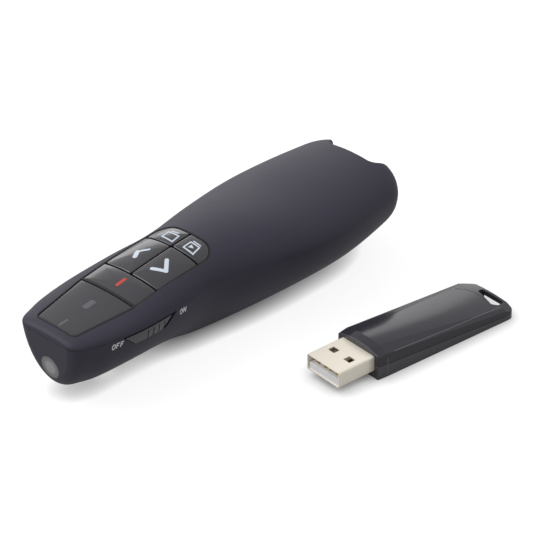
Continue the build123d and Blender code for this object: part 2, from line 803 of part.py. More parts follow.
# ---------------------------------------------------------------- guide plate under the keys
with BuildPart() as key_guide:
    with BuildSketch(keypad_plane.offset(-guide_top)):
        y_guide_front = keypad_y(laser_key_front - 0.5)
        y_guide_end = keypad_y(keypad_end - 0.3)
        with Locations((0, (y_guide_front + y_guide_end) / 2)):
            Rectangle(2 * guide_half_width, y_guide_front - y_guide_end)
        for cell in key_cells.values():
            stem_x, stem_station = key_centre(cell)
            with Locations((stem_x, keypad_y(stem_station))):
                Rectangle(stem_size + 2 * stem_gap, stem_size + 2 * stem_gap, mode=Mode.SUBTRACT)
    extrude(amount=-guide_thickness)
    add(fitted, mode=Mode.INTERSECT)
    # Legs that stand on the circuit board beside the switches
    with BuildSketch(keypad_plane.offset(-guide_bottom)):
        for station in guide_leg_stations:
            with Locations((-guide_leg_offset, keypad_y(station)), (guide_leg_offset, keypad_y(station))):
                Rectangle(guide_leg_width, guide_leg_length)
    extrude(amount=guide_bottom - board_depth)
key_guide.part.label = "key_guide"
export_step(key_guide.part, "parts/key_guide.step")

# ---------------------------------------------------------------- circuit board
with BuildPart() as main_board:
    with BuildSketch(keypad_plane.offset(-board_depth)):
        y_board_front = keypad_y(keypad_front + board_front_setback)
        y_board_end = keypad_y(keypad_end - board_end_setback)
        with Locations((0, (y_board_front + y_board_end) / 2)):
            RectangleRounded(2 * board_half_width, y_board_front - y_board_end, 1.0)
    extrude(amount=-board_thickness)
    with BuildSketch(Plane.XY):
        with Locations((0, along(screw_stations[0]))):
            Circle(boss_radius + running_gap)
    extrude(amount=2 * end_crown, mode=Mode.SUBTRACT)
main_board.part.label = "main_board"
export_step(main_board.part, "parts/main_board.step")

# One press switch under each key: the housings share a node, each plunger rides with its key
with BuildPart() as switch_housings:
    with BuildSketch(keypad_plane.offset(-board_depth)):
        for cell in key_cells.values():
            stem_x, stem_station = key_centre(cell)
            with Locations((stem_x, keypad_y(stem_station))):
                Rectangle(switch_body_size, switch_body_size)
                Circle(plunger_diameter / 2 + shell_gap, mode=Mode.SUBTRACT)
    extrude(amount=switch_body_height)
switch_housings.part.label = "switch_housings"
export_step(switch_housings.part, "parts/switch_housings.step")

for key_name, cell in key_cells.items():
    stem_x, stem_station = key_centre(cell)
    with BuildPart() as plunger:
        with BuildSketch(keypad_plane.offset(-plunger_top)):
            with Locations((stem_x, keypad_y(stem_station))):
                Circle(plunger_diameter / 2)
        extrude(amount=-(board_depth - plunger_top - key_travel - plunger_gap))
    plunger.part.label = key_name.replace("_key", "_plunger")
    export_step(plunger.part, f"parts/{plunger.part.label}.step")

# Lamps under the indicator panel
with BuildPart() as indicator_lamps:
    with BuildSketch(keypad_plane.offset(-board_depth)):
        for station in lamp_stations:
            with Locations((0, keypad_y(station))):
                Rectangle(lamp_size, lamp_size)
    extrude(amount=lamp_height)
indicator_lamps.part.label = "indicator_lamps"
export_step(indicator_lamps.part, "parts/indicator_lamps.step")

# Chips and their companions hang from the board's underside
for node_name, (x, setback, width, length, height) in board_parts.items():
    with BuildPart() as board_part:
        with BuildSketch(keypad_plane.offset(-board_bottom)):
            with Locations((x, keypad_y(laser_key_front + setback))):
                Rectangle(width, length)
        extrude(amount=-height)
    board_part.part.label = node_name
    export_step(board_part.part, f"parts/{node_name}.step")

with BuildPart() as board_capacitors:
    with BuildSketch(keypad_plane.offset(-board_bottom)):
        first_capacitor = laser_key_front + capacitor_setback
        for i in range(capacitor_count):
            with Locations((capacitor_x, keypad_y(first_capacitor + i * capacitor_pitch))):
                Rectangle(capacitor_length, capacitor_width)
    extrude(amount=-capacitor_height)
board_capacitors.part.label = "board_capacitors"
export_step(board_capacitors.part, "parts/board_capacitors.step")

# Screws that hold the board down on its posts
with BuildPart() as board_screws:
    for station in board_post_stations:
        for x in (-board_post_offset, board_post_offset):
            head_plane = keypad_plane.offset(-board_depth)
            with BuildSketch(head_plane):
                with Locations((x, keypad_y(station))):
                    Circle(board_screw_head_radius)
            extrude(amount=board_screw_head_height)
board_screws.part.label = "board_screws"
export_step(board_screws.part, "parts/board_screws.step")

# ---------------------------------------------------------------- laser pointer
laser_plane = Plane(origin=(0, along(laser_front), laser_axis_height), x_dir=(1, 0, 0), z_dir=(0, -1, 0))
with BuildPart() as laser_barrel:
    with BuildSketch(laser_plane):
        Circle(laser_radius)
    extrude(amount=laser_length)
    with BuildSketch(laser_plane.offset(laser_lip)):
        Circle(laser_bore_radius)
    extrude(amount=laser_length, mode=Mode.SUBTRACT)
    with BuildSketch(laser_plane):
        Circle(laser_aperture_radius)
    extrude(amount=laser_lip, mode=Mode.SUBTRACT)
laser_barrel.part.label = "laser_barrel"
export_step(laser_barrel.part, "parts/laser_barrel.step")

with BuildPart() as laser_collimator:
    with BuildSketch(laser_plane.offset(laser_lip)):
        Circle(laser_bore_radius - laser_fit)
    extrude(amount=collimator_length)
laser_collimator.part.label = "laser_collimator"
export_step(laser_collimator.part, "parts/laser_collimator.step")

# The diode's flange closes the barrel's end; its can points forward
flange_start = laser_length - diode_flange
with BuildPart() as laser_diode:
    with BuildSketch(laser_plane.offset(flange_start)):
        Circle(laser_bore_radius - laser_fit)
    extrude(amount=diode_flange)
    with BuildSketch(laser_plane.offset(flange_start)):
        Circle(diode_radius)
    extrude(amount=-diode_length)
laser_diode.part.label = "laser_diode"
export_step(laser_diode.part, "parts/laser_diode.step")

# Sleeve that keeps the lens at its focus in front of the diode
with BuildPart() as focus_sleeve:
    sleeve_length = flange_start - laser_lip - collimator_length
    with BuildSketch(laser_plane.offset(laser_lip + collimator_length)):
        Circle(laser_bore_radius - laser_fit)
        Circle(diode_radius + laser_fit, mode=Mode.SUBTRACT)
    extrude(amount=sleeve_length)
focus_sleeve.part.label = "focus_sleeve"
export_step(focus_sleeve.part, "parts/focus_sleeve.step")

# Window in the nose: a disc with a rim, leaning like the nose face
with BuildPart() as laser_window:
    with BuildSketch(across(window_thickness)):
        with Locations((0, laser_axis_height)):
            Circle(window_radius)
    extrude(amount=-(window_thickness + 1))
    add(handset_form(0.0, handset_length, window_recess), mode=Mode.INTERSECT)
laser_window.part.label = "laser_window"
export_step(laser_window.part, "parts/laser_window.step")

# ---------------------------------------------------------------- batteries and contacts
# The left cell's button points back, the right cell's points forward
battery_front = {"left": battery_bay_front + spring_length, "right": battery_bay_front + contact_thickness}
for side_name, side_sign, button_first in (("left", -1, False), ("right", 1, True)):
    start = battery_front[side_name]
    case_start = start + (battery_button_height if button_first else 0)
    case_length = battery_length - battery_button_height
    button_start = start if button_first else start + case_length
    with BuildPart() as battery:
        with BuildSketch(across(case_start)):
            with Locations((side_sign * battery_offset, battery_axis_height)):
                Circle(battery_radius)
        extrude(amount=case_length)
        with BuildSketch(across(button_start)):
            with Locations((side_sign * battery_offset, battery_axis_height)):
                Circle(battery_button_diameter / 2)
        extrude(amount=battery_button_height)
    battery.part.label = f"battery_{side_name}"
    export_step(battery.part, f"parts/battery_{side_name}.step")

with BuildPart() as contact_plates:
    for plate_station in (battery_bay_front, battery_bay_end - contact_thickness):
        with BuildSketch(across(plate_station)):
            with Locations((-battery_offset, battery_axis_height), (battery_offset, battery_axis_height)):
                Rectangle(2 * contact_half_width, 2 * contact_half_height)
        extrude(amount=contact_thickness)
contact_plates.part.label = "contact_plates"
export_step(contact_plates.part, "parts/contact_plates.step")

# A coil between the plate and the flat end of each cell
coil_height = spring_length - contact_thickness - spring_wire - 2 * seam_gap
with BuildPart() as contact_springs:
    for side_sign, coil_station in (
        (-1, battery_bay_front + contact_thickness + spring_wire / 2 + seam_gap),
        (1, battery_bay_end - spring_length + spring_wire / 2 + seam_gap),
    ):
        with BuildLine():
            coil = Helix(
                coil_height / spring_turns,
                coil_height,
                spring_radius,
                center=(side_sign * battery_offset, along(coil_station), battery_axis_height),
                direction=(0, -1, 0),
            )
        with BuildSketch(Plane(origin=coil @ 0, z_dir=coil % 0)):
            Circle(spring_wire / 2)
        sweep(path=coil)
contact_springs.part.label = "contact_springs"
export_step(contact_springs.part, "parts/contact_springs.step")

# ---------------------------------------------------------------- tray of the receiver bay
tray_end = handset_length - tail_wall - seam_gap
with BuildPart() as receiver_tray:
    add(upright_block(bay_half_width + tray_wall, bay_front, tray_end, divider_bottom,
                      bay_floor + tray_wall_height))
    add(upright_block(bay_half_width, bay_front - 1, tray_end + 1, bay_floor,
                      bay_floor + tray_wall_height + 1), mode=Mode.SUBTRACT)
    add(fitted, mode=Mode.INTERSECT)
receiver_tray.part.label = "receiver_tray"
export_step(receiver_tray.part, "parts/receiver_tray.step")

# ---------------------------------------------------------------- power slide switch
def fork_block(x_outer, x_inner, length, height, station):
    """Block across the switch's slot, centred on the toggle's height."""
    with BuildPart() as block:
        with BuildSketch(Plane.YZ.offset(x_outer)):
            with Locations((along(station), toggle_height_z)):
                Rectangle(length, height)
        extrude(amount=x_inner - x_outer)
    return block.part


switch_face_x = pocket_back_x
toggle_face_x = switch_face_x + 0.2
with BuildPart() as power_slider:
    slider_front = pocket_front + slider_gap
    add(pocket_block(-2 * palm_half_width, pocket_floor_x - seam_gap, slider_gap,
                     pocket_front, slider_front + slider_length))
    add(handset_form(0.0, handset_length, -slider_proud), mode=Mode.INTERSECT)
    ridge_face_x = pocket_floor_x - pocket_depth
    for i in range(ridge_count):
        ridge_station = slider_middle + ridge_setback + (i - (ridge_count - 1) / 2) * ridge_pitch
        add(fork_block(-2 * palm_half_width, ridge_face_x + ridge_depth, ridge_width,
                       pocket_high - pocket_low - 2 * ridge_margin, ridge_station),
            mode=Mode.SUBTRACT)
    add(fork_block(pocket_floor_x - pocket_depth / 2, toggle_face_x, toggle_length, toggle_height,
                   slider_middle))
power_slider.part.label = "power_slider"
export_step(power_slider.part, "parts/power_slider.step")

with BuildPart() as slide_switch:
    with BuildSketch(Plane.YZ.offset(switch_face_x)):
        with Locations((along(slider_middle + slider_travel / 2), toggle_height_z)):
            Rectangle(switch_length, switch_height)
    extrude(amount=switch_width)
    with BuildSketch(Plane.YZ.offset(switch_face_x)):
        with Locations((along(slider_middle + slider_travel / 2), toggle_height_z)):
            Rectangle(toggle_length + slider_travel + 2 * running_gap, toggle_height + 2 * running_gap)
    extrude(amount=switch_slot_depth, mode=Mode.SUBTRACT)
slide_switch.part.label = "slide_switch"
export_step(slide_switch.part, "parts/slide_switch.step")

with BuildPart() as switch_toggle:
    add(fork_block(toggle_face_x + shell_gap, switch_face_x + switch_slot_depth - shell_gap,
                   toggle_length, toggle_height, slider_middle))
switch_toggle.part.label = "switch_toggle"
export_step(switch_toggle.part, "parts/switch_toggle.step")

# ---------------------------------------------------------------- screws that join the shells
with BuildPart() as shell_screws:
    for station in screw_stations:
        seat = post_top(station) - screw_grip
        with BuildSketch(Plane.XY.offset(seat)):
            with Locations((0, along(station))):
                Circle(screw_head_radius)
        extrude(amount=-screw_head_height)
        with BuildSketch(Plane.XY.offset(seat)):
            with Locations((0, along(station))):
                Circle(screw_radius)
        extrude(amount=screw_grip + screw_bite)
shell_screws.part.label = "shell_screws"
export_step(shell_screws.part, "parts/shell_screws.step")

# ---------------------------------------------------------------- receiver on the table
receiver_yaw_angle = radians(receiver_yaw)
receiver_forward = Vector(-sin(receiver_yaw_angle), cos(receiver_yaw_angle), 0)
receiver_side = Vector(cos(receiver_yaw_angle), sin(receiver_yaw_angle), 0)


def across_receiver(distance):
    """Upright plane across the receiver, a distance behind its collar's front."""
    spot = Vector(*receiver_place, 0) - receiver_forward * distance
    return Plane(origin=spot, x_dir=receiver_side, z_dir=-receiver_forward)


def receiver_level(height):
    """Level plane of the receiver: its y points out of the plug, its origin is the collar."""
    return Plane(origin=(*receiver_place, height), x_dir=receiver_side, z_dir=(0, 0, 1))


with BuildPart() as receiver_outside:
    loft([draw_receiver_section(across_receiver(row[0]), row[1:]) for row in receiver_sections],
         ruled=True)
    with BuildSketch(receiver_level(0)):
        with Locations((0, -receiver_length / 2 + receiver_tail_round)):
            RectangleRounded(2 * receiver_tail_half_width, receiver_length + 2 * receiver_tail_round,
                             receiver_tail_round)
    extrude(amount=receiver_thickness + 1, mode=Mode.INTERSECT)
    # Slot for a lanyard, with a bar behind it that is free underneath
    with BuildSketch(receiver_level(0)) as slot_outline:
        with BuildLine():
            Polyline(*[(x, distance - receiver_length) for x, distance in lanyard_slot], close=True)
        make_face()
        fillet(slot_outline.vertices(), lanyard_corner)
    extrude(amount=receiver_thickness + 1, mode=Mode.SUBTRACT)
    slot_side, slot_far_side = lanyard_slot[3][0], lanyard_slot[2][0]
    with BuildSketch(receiver_level(0)):
        with Locations(((slot_side + slot_far_side) / 2, -receiver_length)):
            Rectangle(slot_far_side - slot_side, 4 * lanyard_bar)
    extrude(amount=lanyard_bar_low, mode=Mode.SUBTRACT)

# Its inside, with the way out for the plug
receiver_room_end = receiver_length - lanyard_slot[0][1] - lanyard_rim
receiver_board_length = receiver_room_end - receiver_board_setback - receiver_board_front
plug_low = plug_middle - usb_height / 2
with BuildPart() as receiver_room:
    loft([draw_receiver_section(across_receiver(distance), receiver_sizes(distance), 0, -receiver_wall)
          for distance in (receiver_front_wall, receiver_collar_length, receiver_room_end)],
         ruled=True)
    with BuildSketch(across_receiver(-1)):
        with Locations((0, plug_middle)):
            Rectangle(usb_width + 2 * shell_gap, usb_height + 2 * shell_gap)
    extrude(amount=plug_seat + 1 + shell_gap)

# The seam between its covers slopes down to the tail
seam_tilt = atan(receiver_seam_drop / receiver_length)
receiver_seam_plane = Plane(
    origin=(*receiver_place, receiver_seam),
    x_dir=receiver_side,
    z_dir=Vector(0, 0, cos(seam_tilt)) - receiver_forward * sin(seam_tilt),
)

with BuildPart() as receiver_bottom:
    add(receiver_outside.part)
    split(bisect_by=receiver_seam_plane, keep=Keep.BOTTOM)
    add(receiver_room.part, mode=Mode.SUBTRACT)
    # Ribs that carry its board
    for distance in (receiver_board_front + 3, receiver_board_front + receiver_board_length - 3):
        with BuildSketch(across_receiver(distance)):
            with Locations((0, (receiver_wall / 2 + receiver_board_low) / 2)):
                Rectangle(2 * receiver_rib_half_width, receiver_board_low - receiver_wall / 2)
        extrude(amount=receiver_wall)
receiver_bottom.part.label = "receiver_bottom"
export_step(receiver_bottom.part, "parts/receiver_bottom.step")

with BuildPart() as receiver_top:
    add(receiver_outside.part)
    split(bisect_by=receiver_seam_plane, keep=Keep.TOP)
    add(receiver_room.part, mode=Mode.SUBTRACT)
receiver_top.part.label = "receiver_top"
export_step(receiver_top.part, "parts/receiver_top.step")

# ---------------------------------------------------------------- plug of the receiver
plug_length = usb_reach + plug_seat
with BuildPart() as plug_shell:
    with BuildSketch(across_receiver(-usb_reach)):
        with Locations((0, plug_middle)):
            RectangleRounded(usb_width, usb_height, usb_corner)
            RectangleRounded(usb_width - 2 * usb_sheet, usb_height - 2 * usb_sheet,
                             usb_corner - usb_sheet, mode=Mode.SUBTRACT)
    extrude(amount=plug_length)
    # Latch windows in both broad sides
    with BuildSketch(receiver_level(0)):
        with Locations((-latch_offset, usb_reach - latch_back), (latch_offset, usb_reach - latch_back)):
            Rectangle(latch_width, latch_length)
    extrude(amount=receiver_thickness, mode=Mode.SUBTRACT)
plug_shell.part.label = "plug_shell"
export_step(plug_shell.part, "parts/plug_shell.step")

# The tongue lies on the floor of the plug, with its contacts facing up
tongue_low = plug_low + usb_sheet
with BuildPart() as plug_tongue:
    with BuildSketch(across_receiver(tongue_setback - usb_reach)):
        with Locations((0, tongue_low + tongue_thickness / 2)):
            Rectangle(usb_width - 2 * usb_corner - 2 * shell_gap, tongue_thickness)
    extrude(amount=plug_length - tongue_setback)
plug_tongue.part.label = "plug_tongue"
export_step(plug_tongue.part, "parts/plug_tongue.step")

with BuildPart() as plug_contacts:
    with BuildSketch(receiver_level(tongue_low + tongue_thickness)):
        for offset_x in contact_offsets:
            with Locations((offset_x, usb_reach - tongue_setback - contact_back - contact_strip_length / 2)):
                Rectangle(contact_strip_width, contact_strip_length)
    extrude(amount=contact_strip_thickness)
plug_contacts.part.label = "plug_contacts"
export_step(plug_contacts.part, "parts/plug_contacts.step")

# ---------------------------------------------------------------- inside of the receiver
with BuildPart() as receiver_board:
    with BuildSketch(receiver_level(receiver_board_low)):
        with Locations((0, -receiver_board_front - receiver_board_length / 2)):
            Rectangle(2 * receiver_board_half_width, receiver_board_length)
    extrude(amount=receiver_board_thickness)
receiver_board.part.label = "receiver_board"
export_step(receiver_board.part, "parts/receiver_board.step")

for node_name, (x, distance, width, length, height) in receiver_parts.items():
    with BuildPart() as receiver_part:
        with BuildSketch(receiver_level(receiver_board_low + receiver_board_thickness)):
            with Locations((x, -distance)):
                Rectangle(width, length)
        extrude(amount=height)
    receiver_part.part.label = node_name
    export_step(receiver_part.part, f"parts/{node_name}.step")
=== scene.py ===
import bpy
import bmesh
import json
from math import atan, atan2, cos, pi, radians, sin, sqrt, tan
from mathutils import Matrix, Vector
from mathutils.bvhtree import BVHTree


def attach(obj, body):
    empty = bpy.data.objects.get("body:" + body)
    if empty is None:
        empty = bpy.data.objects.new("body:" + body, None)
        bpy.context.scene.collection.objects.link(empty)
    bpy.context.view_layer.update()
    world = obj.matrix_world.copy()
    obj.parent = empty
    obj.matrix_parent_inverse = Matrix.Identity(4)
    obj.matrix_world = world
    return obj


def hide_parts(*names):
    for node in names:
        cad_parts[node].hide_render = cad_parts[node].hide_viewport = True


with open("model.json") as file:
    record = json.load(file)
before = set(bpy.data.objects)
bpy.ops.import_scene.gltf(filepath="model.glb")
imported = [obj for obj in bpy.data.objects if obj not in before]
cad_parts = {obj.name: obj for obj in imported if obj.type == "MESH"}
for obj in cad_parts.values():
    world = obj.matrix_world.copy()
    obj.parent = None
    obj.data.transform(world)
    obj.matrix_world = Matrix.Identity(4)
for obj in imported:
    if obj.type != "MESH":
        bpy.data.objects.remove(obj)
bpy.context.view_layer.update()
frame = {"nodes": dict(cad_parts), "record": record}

MM = 0.001      # one millimetre in metres

# ---------------------------------------------------------------- sizes shared with the part's source, in mm
# Stations count from the nose to the tail; angles here are in degrees
HANDSET_LENGTH = 115.0
REST_STATION = 58.0
PARTING_HEIGHT = 18.6
TAIL_CROWN = 26.45
PALM_HALF_WIDTH = 19.3
ELLIPSE_RISE, ELLIPSE_REACH = 0.668, 0.442
FULLER_RISE, FULLER_REACH = 0.2, 0.3
DRAFT = 0.03
CREST_LEVEL = 1.6      # puts the crest of an arch of five spans at its full height
NOSE_RAKE, NOSE_RAKE_LENGTH = 6.0, 9.0
NOSE_ROUND, NOSE_CROWN_ROUND, NOSE_FULLNESS = 2.6, 1.3, 0.3
TAIL_ROUND_LENGTH, TAIL_ROUND_WIDTH, TAIL_RIM_ROUND, TAIL_FULLNESS = 6.4, 7.4, 1.2, 0.74
TAIL_CROWN_ROUND = 3.0
# Rows of the outline: station, half width, crown, belly and squareness of the top
OUTLINE = [
    (0.0, 9.9, PARTING_HEIGHT + 1.9, 4.1, 1.0),
    (9.0, 12.9, PARTING_HEIGHT + 2.8, 3.1, 1.0),
    (20.0, 14.3, PARTING_HEIGHT + 4.15, 3.3, 1.0),
    (33.0, 13.9, PARTING_HEIGHT + 6.3, 2.65, 1.0),
    (46.0, 13.1, PARTING_HEIGHT + 7.7, -0.35, 1.0),
    (HANDSET_LENGTH - 53, 16.2, TAIL_CROWN + 0.5, -0.4, 0.75),
    (HANDSET_LENGTH - 35, PALM_HALF_WIDTH, TAIL_CROWN - 0.1, 0.8, 0.5),
    (HANDSET_LENGTH - 19, PALM_HALF_WIDTH - 0.25, TAIL_CROWN - 0.1, 1.6, 0.55),
    (HANDSET_LENGTH, PALM_HALF_WIDTH - 2.6, TAIL_CROWN, 5.8, 0.6),
]
KEYPAD_FRONT, LASER_KEY_FRONT, ARROW_KEYS_FRONT, SCREEN_KEYS_FRONT, KEYPAD_END = 2.9, 20.8, 28.8, 43.1, 50.4
KEYPAD_FRONT_HALF_WIDTH, KEYPAD_HALF_WIDTH = 7.0, 9.75
KEYPAD_CORNER, KEYPAD_END_CORNER = 1.6, 5.2
KEY_GAP, PANEL_GAP = 0.42, 0.25
CAP_DEPTH, PANEL_DEPTH = 3.2, 2.4
STEM_SIZE, STEM_BOTTOM = 3.0, 5.05
STEM_OVERLAP = 0.1
LASER_AXIS_HEIGHT = 9.5
LENS_RADIUS = 3.2

# ---------------------------------------------------------------- how finely pieces are drawn, in mm
STATION_STEPS, ARCH_STEPS = 260, 48
RAY_HEIGHT = 12.0              # from where a ray looks down at the keypad
SIDE_RAY = 40.0                # from where a ray looks at a side
WELD_DISTANCE = 1e-7           # metres
SMOOTH_ANGLE = 40.0            # degrees
CORNER_STEPS, SIDE_SPACING, SMALLEST_RADIUS = 8, 0.5, 0.02
CAP_RINGS, CAP_EDGE_STEPS, CROWN_POWER = 14, 5, 2.2
RIBBON_STEP, MITRE_LIMIT, ROUND_END_STEPS = 0.35, 0.4, 5
PRINT_PROUD, PRINT_SINK = 0.02, 0.06
PATCH_RINGS = 4
PARTING_STEPS, PARTING_FRONT_STEPS = 90, 12


def blend_outline(station):
    """The outline's four sizes at a station, on smooth curves through it."""
    last = len(OUTLINE) - 2
    span = max(i for i in range(last + 1) if i == 0 or OUTLINE[i][0] <= station)
    before, start = OUTLINE[max(span - 1, 0)], OUTLINE[span]
    end, after = OUTLINE[span + 1], OUTLINE[min(span + 2, last + 1)]
    length = end[0] - start[0]
    share = (station - start[0]) / length
    sizes = []
    for i in (1, 2, 3, 4):
        slope_in = (end[i] - before[i]) / (end[0] - before[0])
        slope_out = (after[i] - start[i]) / (after[0] - start[0])
        chord = end[i] - start[i]
        bend = (slope_in * length - chord) * (1 - share) - (slope_out * length - chord) * share
        sizes.append(start[i] + chord * share + share * (1 - share) * bend)
    return sizes


def round_off(depth, reach):
    """How far a quarter ellipse, 1 high, has come in at a depth from its tip."""
    return 1 - sqrt(max(0.0, 1 - max(0.0, 1 - depth / reach) ** 2))


def bezier(points, t):
    """Point of a Bezier curve at a share of its length."""
    points = list(points)
    while len(points) > 1:
        points = [((1 - t) * a[0] + t * b[0], (1 - t) * a[1] + t * b[1]) for a, b in zip(points, points[1:])]
    return points[0]


def section_points(station, count):
    """Points of the handset's cross-section at a station: over the top, then under the belly."""
    half_width, crown, belly, squareness = blend_outline(station)
    nose = round_off(station, NOSE_ROUND)
    tail = round_off(HANDSET_LENGTH - station, TAIL_ROUND_LENGTH)
    tail_rim = round_off(HANDSET_LENGTH - station, TAIL_RIM_ROUND)
    tail_top = round_off(HANDSET_LENGTH - station, TAIL_CROWN_ROUND)
    half_width -= NOSE_ROUND * nose + TAIL_ROUND_WIDTH * tail
    crown -= NOSE_CROWN_ROUND * nose + TAIL_CROWN_ROUND * tail_top
    belly += NOSE_ROUND * nose + TAIL_RIM_ROUND * tail_rim
    fullness = NOSE_FULLNESS * nose + tail * TAIL_FULLNESS
    lean = radians(NOSE_RAKE) * max(0.0, 1 - station / NOSE_RAKE_LENGTH)
    top, bottom = crown - PARTING_HEIGHT, belly - PARTING_HEIGHT
    points = []
    for height, square, steps in ((top, fullness + squareness, range(count)),
                                  (bottom, fullness, range(count, 0, -1))):
        reach = half_width * (ELLIPSE_REACH + FULLER_REACH * square)
        rise = ELLIPSE_RISE + FULLER_RISE * square
        level = CREST_LEVEL - rise / 2
        tuck = DRAFT * rise * abs(height)
        arch = [(half_width, 0), (half_width - tuck, rise * height), (reach, level * height),
                (-reach, level * height), (tuck - half_width, rise * height), (-half_width, 0)]
        for step in steps:
            x, rise_here = bezier(arch, step / count)
            points.append(Vector((x, REST_STATION - station + rise_here * sin(lean),
                                  PARTING_HEIGHT + rise_here * cos(lean))) * MM)
    return points


def ring_faces(rings, count):
    """Faces between rings that have as many points each."""
    faces = []
    for r in range(rings - 1):
        for i in range(count):
            a, b = r * count + i, r * count + (i + 1) % count
            faces.append((a, b, b + count, a + count))
    return faces


def fan(first, count, tip, flipped=False):
    """Triangles from a ring of points to one tip."""
    rim = [(first + i, first + (i + 1) % count) for i in range(count)]
    return [(b, a, tip) if flipped else (a, b, tip) for a, b in rim]


def form_tree():
    """Fine reference surface of the handset's outside, for laying pieces on it."""
    vertices = []
    for i in range(STATION_STEPS + 1):
        station = HANDSET_LENGTH * (1 - cos(pi * i / STATION_STEPS)) / 2
        vertices += section_points(station, ARCH_STEPS)
    return BVHTree.FromPolygons(vertices, ring_faces(STATION_STEPS + 1, 2 * ARCH_STEPS))


FORM = form_tree()
FRONT_CROWN, END_CROWN = blend_outline(KEYPAD_FRONT)[1], blend_outline(KEYPAD_END)[1]
KEYPAD_SLOPE = atan((END_CROWN - FRONT_CROWN) / (KEYPAD_END - KEYPAD_FRONT))
KEYPAD_MIDDLE = (KEYPAD_FRONT + KEYPAD_END) / 2
KEYPAD_UP = Vector((0, sin(KEYPAD_SLOPE), cos(KEYPAD_SLOPE)))
KEYPAD_BACK = Vector((0, -cos(KEYPAD_SLOPE), sin(KEYPAD_SLOPE)))
KEYPAD_CENTRE = Vector((0, REST_STATION - KEYPAD_MIDDLE, (FRONT_CROWN + END_CROWN) / 2))


def keypad_point(x, station, height):
    """A point of the keypad, in mm, from its X, its station and its height over the keypad plane."""
    run = (station - KEYPAD_MIDDLE) / cos(KEYPAD_SLOPE)
    return KEYPAD_CENTRE + Vector((x, 0, 0)) + KEYPAD_BACK * run + KEYPAD_UP * height


def height_on(tree, x, station):
    """Height over the keypad plane at which a surface lies there."""
    start = keypad_point(x, station, RAY_HEIGHT)
    spot = tree.ray_cast(start * MM, -KEYPAD_UP)[0]
    return RAY_HEIGHT - (spot / MM - start).length


# ---------------------------------------------------------------- making pieces
def new_piece(name, vertices, faces, material, body):
    """A mesh object in metres from points in mm, smooth shaded except at sharp edges."""
    mesh = bpy.data.meshes.new(name)
    mesh.from_pydata([Vector(v) * MM for v in vertices], [], faces)
    mesh.update()
    edit = bmesh.new()
    edit.from_mesh(mesh)
    bmesh.ops.remove_doubles(edit, verts=edit.verts, dist=WELD_DISTANCE)
    bmesh.ops.recalc_face_normals(edit, faces=edit.faces)
    for face in edit.faces:
        face.smooth = True
    for edge in edit.edges:
        if len(edge.link_faces) == 2 and edge.calc_face_angle(0) > radians(SMOOTH_ANGLE):
            edge.smooth = False
    edit.to_mesh(mesh)
    edit.free()
    piece = bpy.data.objects.new(name, mesh)
    bpy.context.scene.collection.objects.link(piece)
    mesh.materials.append(material)
    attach(piece, body)
    return piece


def rounded_outline(corners, inset=0.0, arc_steps=CORNER_STEPS):
    """Closed list of points round a polygon of (x, y, radius) corners, drawn inset, with as many
    points for every inset."""
    count = len(corners)
    turn = sum(a[0] * b[1] - b[0] * a[1] for a, b in zip(corners, corners[1:] + corners[:1]))
    inward = 1 if turn > 0 else -1
    sides = []
    for a, b in zip(corners, corners[1:] + corners[:1]):
        along = Vector((b[0] - a[0], b[1] - a[1])).normalized()
        normal = Vector((-along.y, along.x)) * inward
        sides.append((Vector(a[:2]) + normal * inset, along, (Vector(b[:2]) - Vector(a[:2])).length))
    arcs = []
    for i in range(count):
        (p, d, _), (q, e, _) = sides[i - 1], sides[i]
        cross = d.x * e.y - d.y * e.x
        spot = p + d * (((q - p).x * e.y - (q - p).y * e.x) / cross)
        angle = atan2(cross, d.dot(e))
        radius = max(corners[i][2] - inset, SMALLEST_RADIUS)
        reach = radius * abs(tan(angle / 2))
        start = spot - d * reach
        centre = start + Vector((-d.y, d.x)) * radius * (1 if angle > 0 else -1)
        arm = start - centre
        arcs.append([centre + Matrix.Rotation(angle * k / arc_steps, 2) @ arm for k in range(arc_steps + 1)])
    points = []
    for i in range(count):
        points += arcs[i]
        pieces = max(1, int(sides[i][2] / SIDE_SPACING))
        a, b = arcs[i][-1], arcs[(i + 1) % count][0]
        points += [a + (b - a) * k / pieces for k in range(1, pieces)]
    return points


def cap_mesh(corners, depth, recess, edge_round, crown):
    """A key cap: upright sides, a rounded edge and a slightly crowned top that follows the handset.
    Corners are (x, station, radius)."""
    vertices = []
    outer = rounded_outline(corners)
    count = len(outer)
    centre = sum(outer, Vector((0, 0))) / count
    rim = [(0.0, None), (0.0, edge_round)]
    for k in range(1, CAP_EDGE_STEPS + 1):
        turn = pi / 2 * k / CAP_EDGE_STEPS
        rim.append((edge_round * (1 - cos(turn)), edge_round * (1 - sin(turn))))
    for inset, drop in rim:
        for p in rounded_outline(corners, inset):
            if drop is None:
                vertices.append(keypad_point(p.x, p.y, -depth))
            else:
                vertices.append(keypad_point(p.x, p.y, height_on(FORM, p.x, p.y) - recess - drop))
    inner = rounded_outline(corners, edge_round)
    for k in range(1, CAP_RINGS):
        share = k / CAP_RINGS
        swell = crown * (1 - (1 - share) ** CROWN_POWER)
        for p in inner:
            q = p + (centre - p) * share
            vertices.append(keypad_point(q.x, q.y, height_on(FORM, q.x, q.y) - recess + swell))
    faces = ring_faces(len(vertices) // count, count)
    faces += fan(len(vertices) - count, count, len(vertices))
    vertices.append(keypad_point(centre.x, centre.y, height_on(FORM, centre.x, centre.y) - recess + crown))
    faces += fan(0, count, len(vertices), flipped=True)
    vertices.append(keypad_point(centre.x, centre.y, -depth))
    return vertices, faces


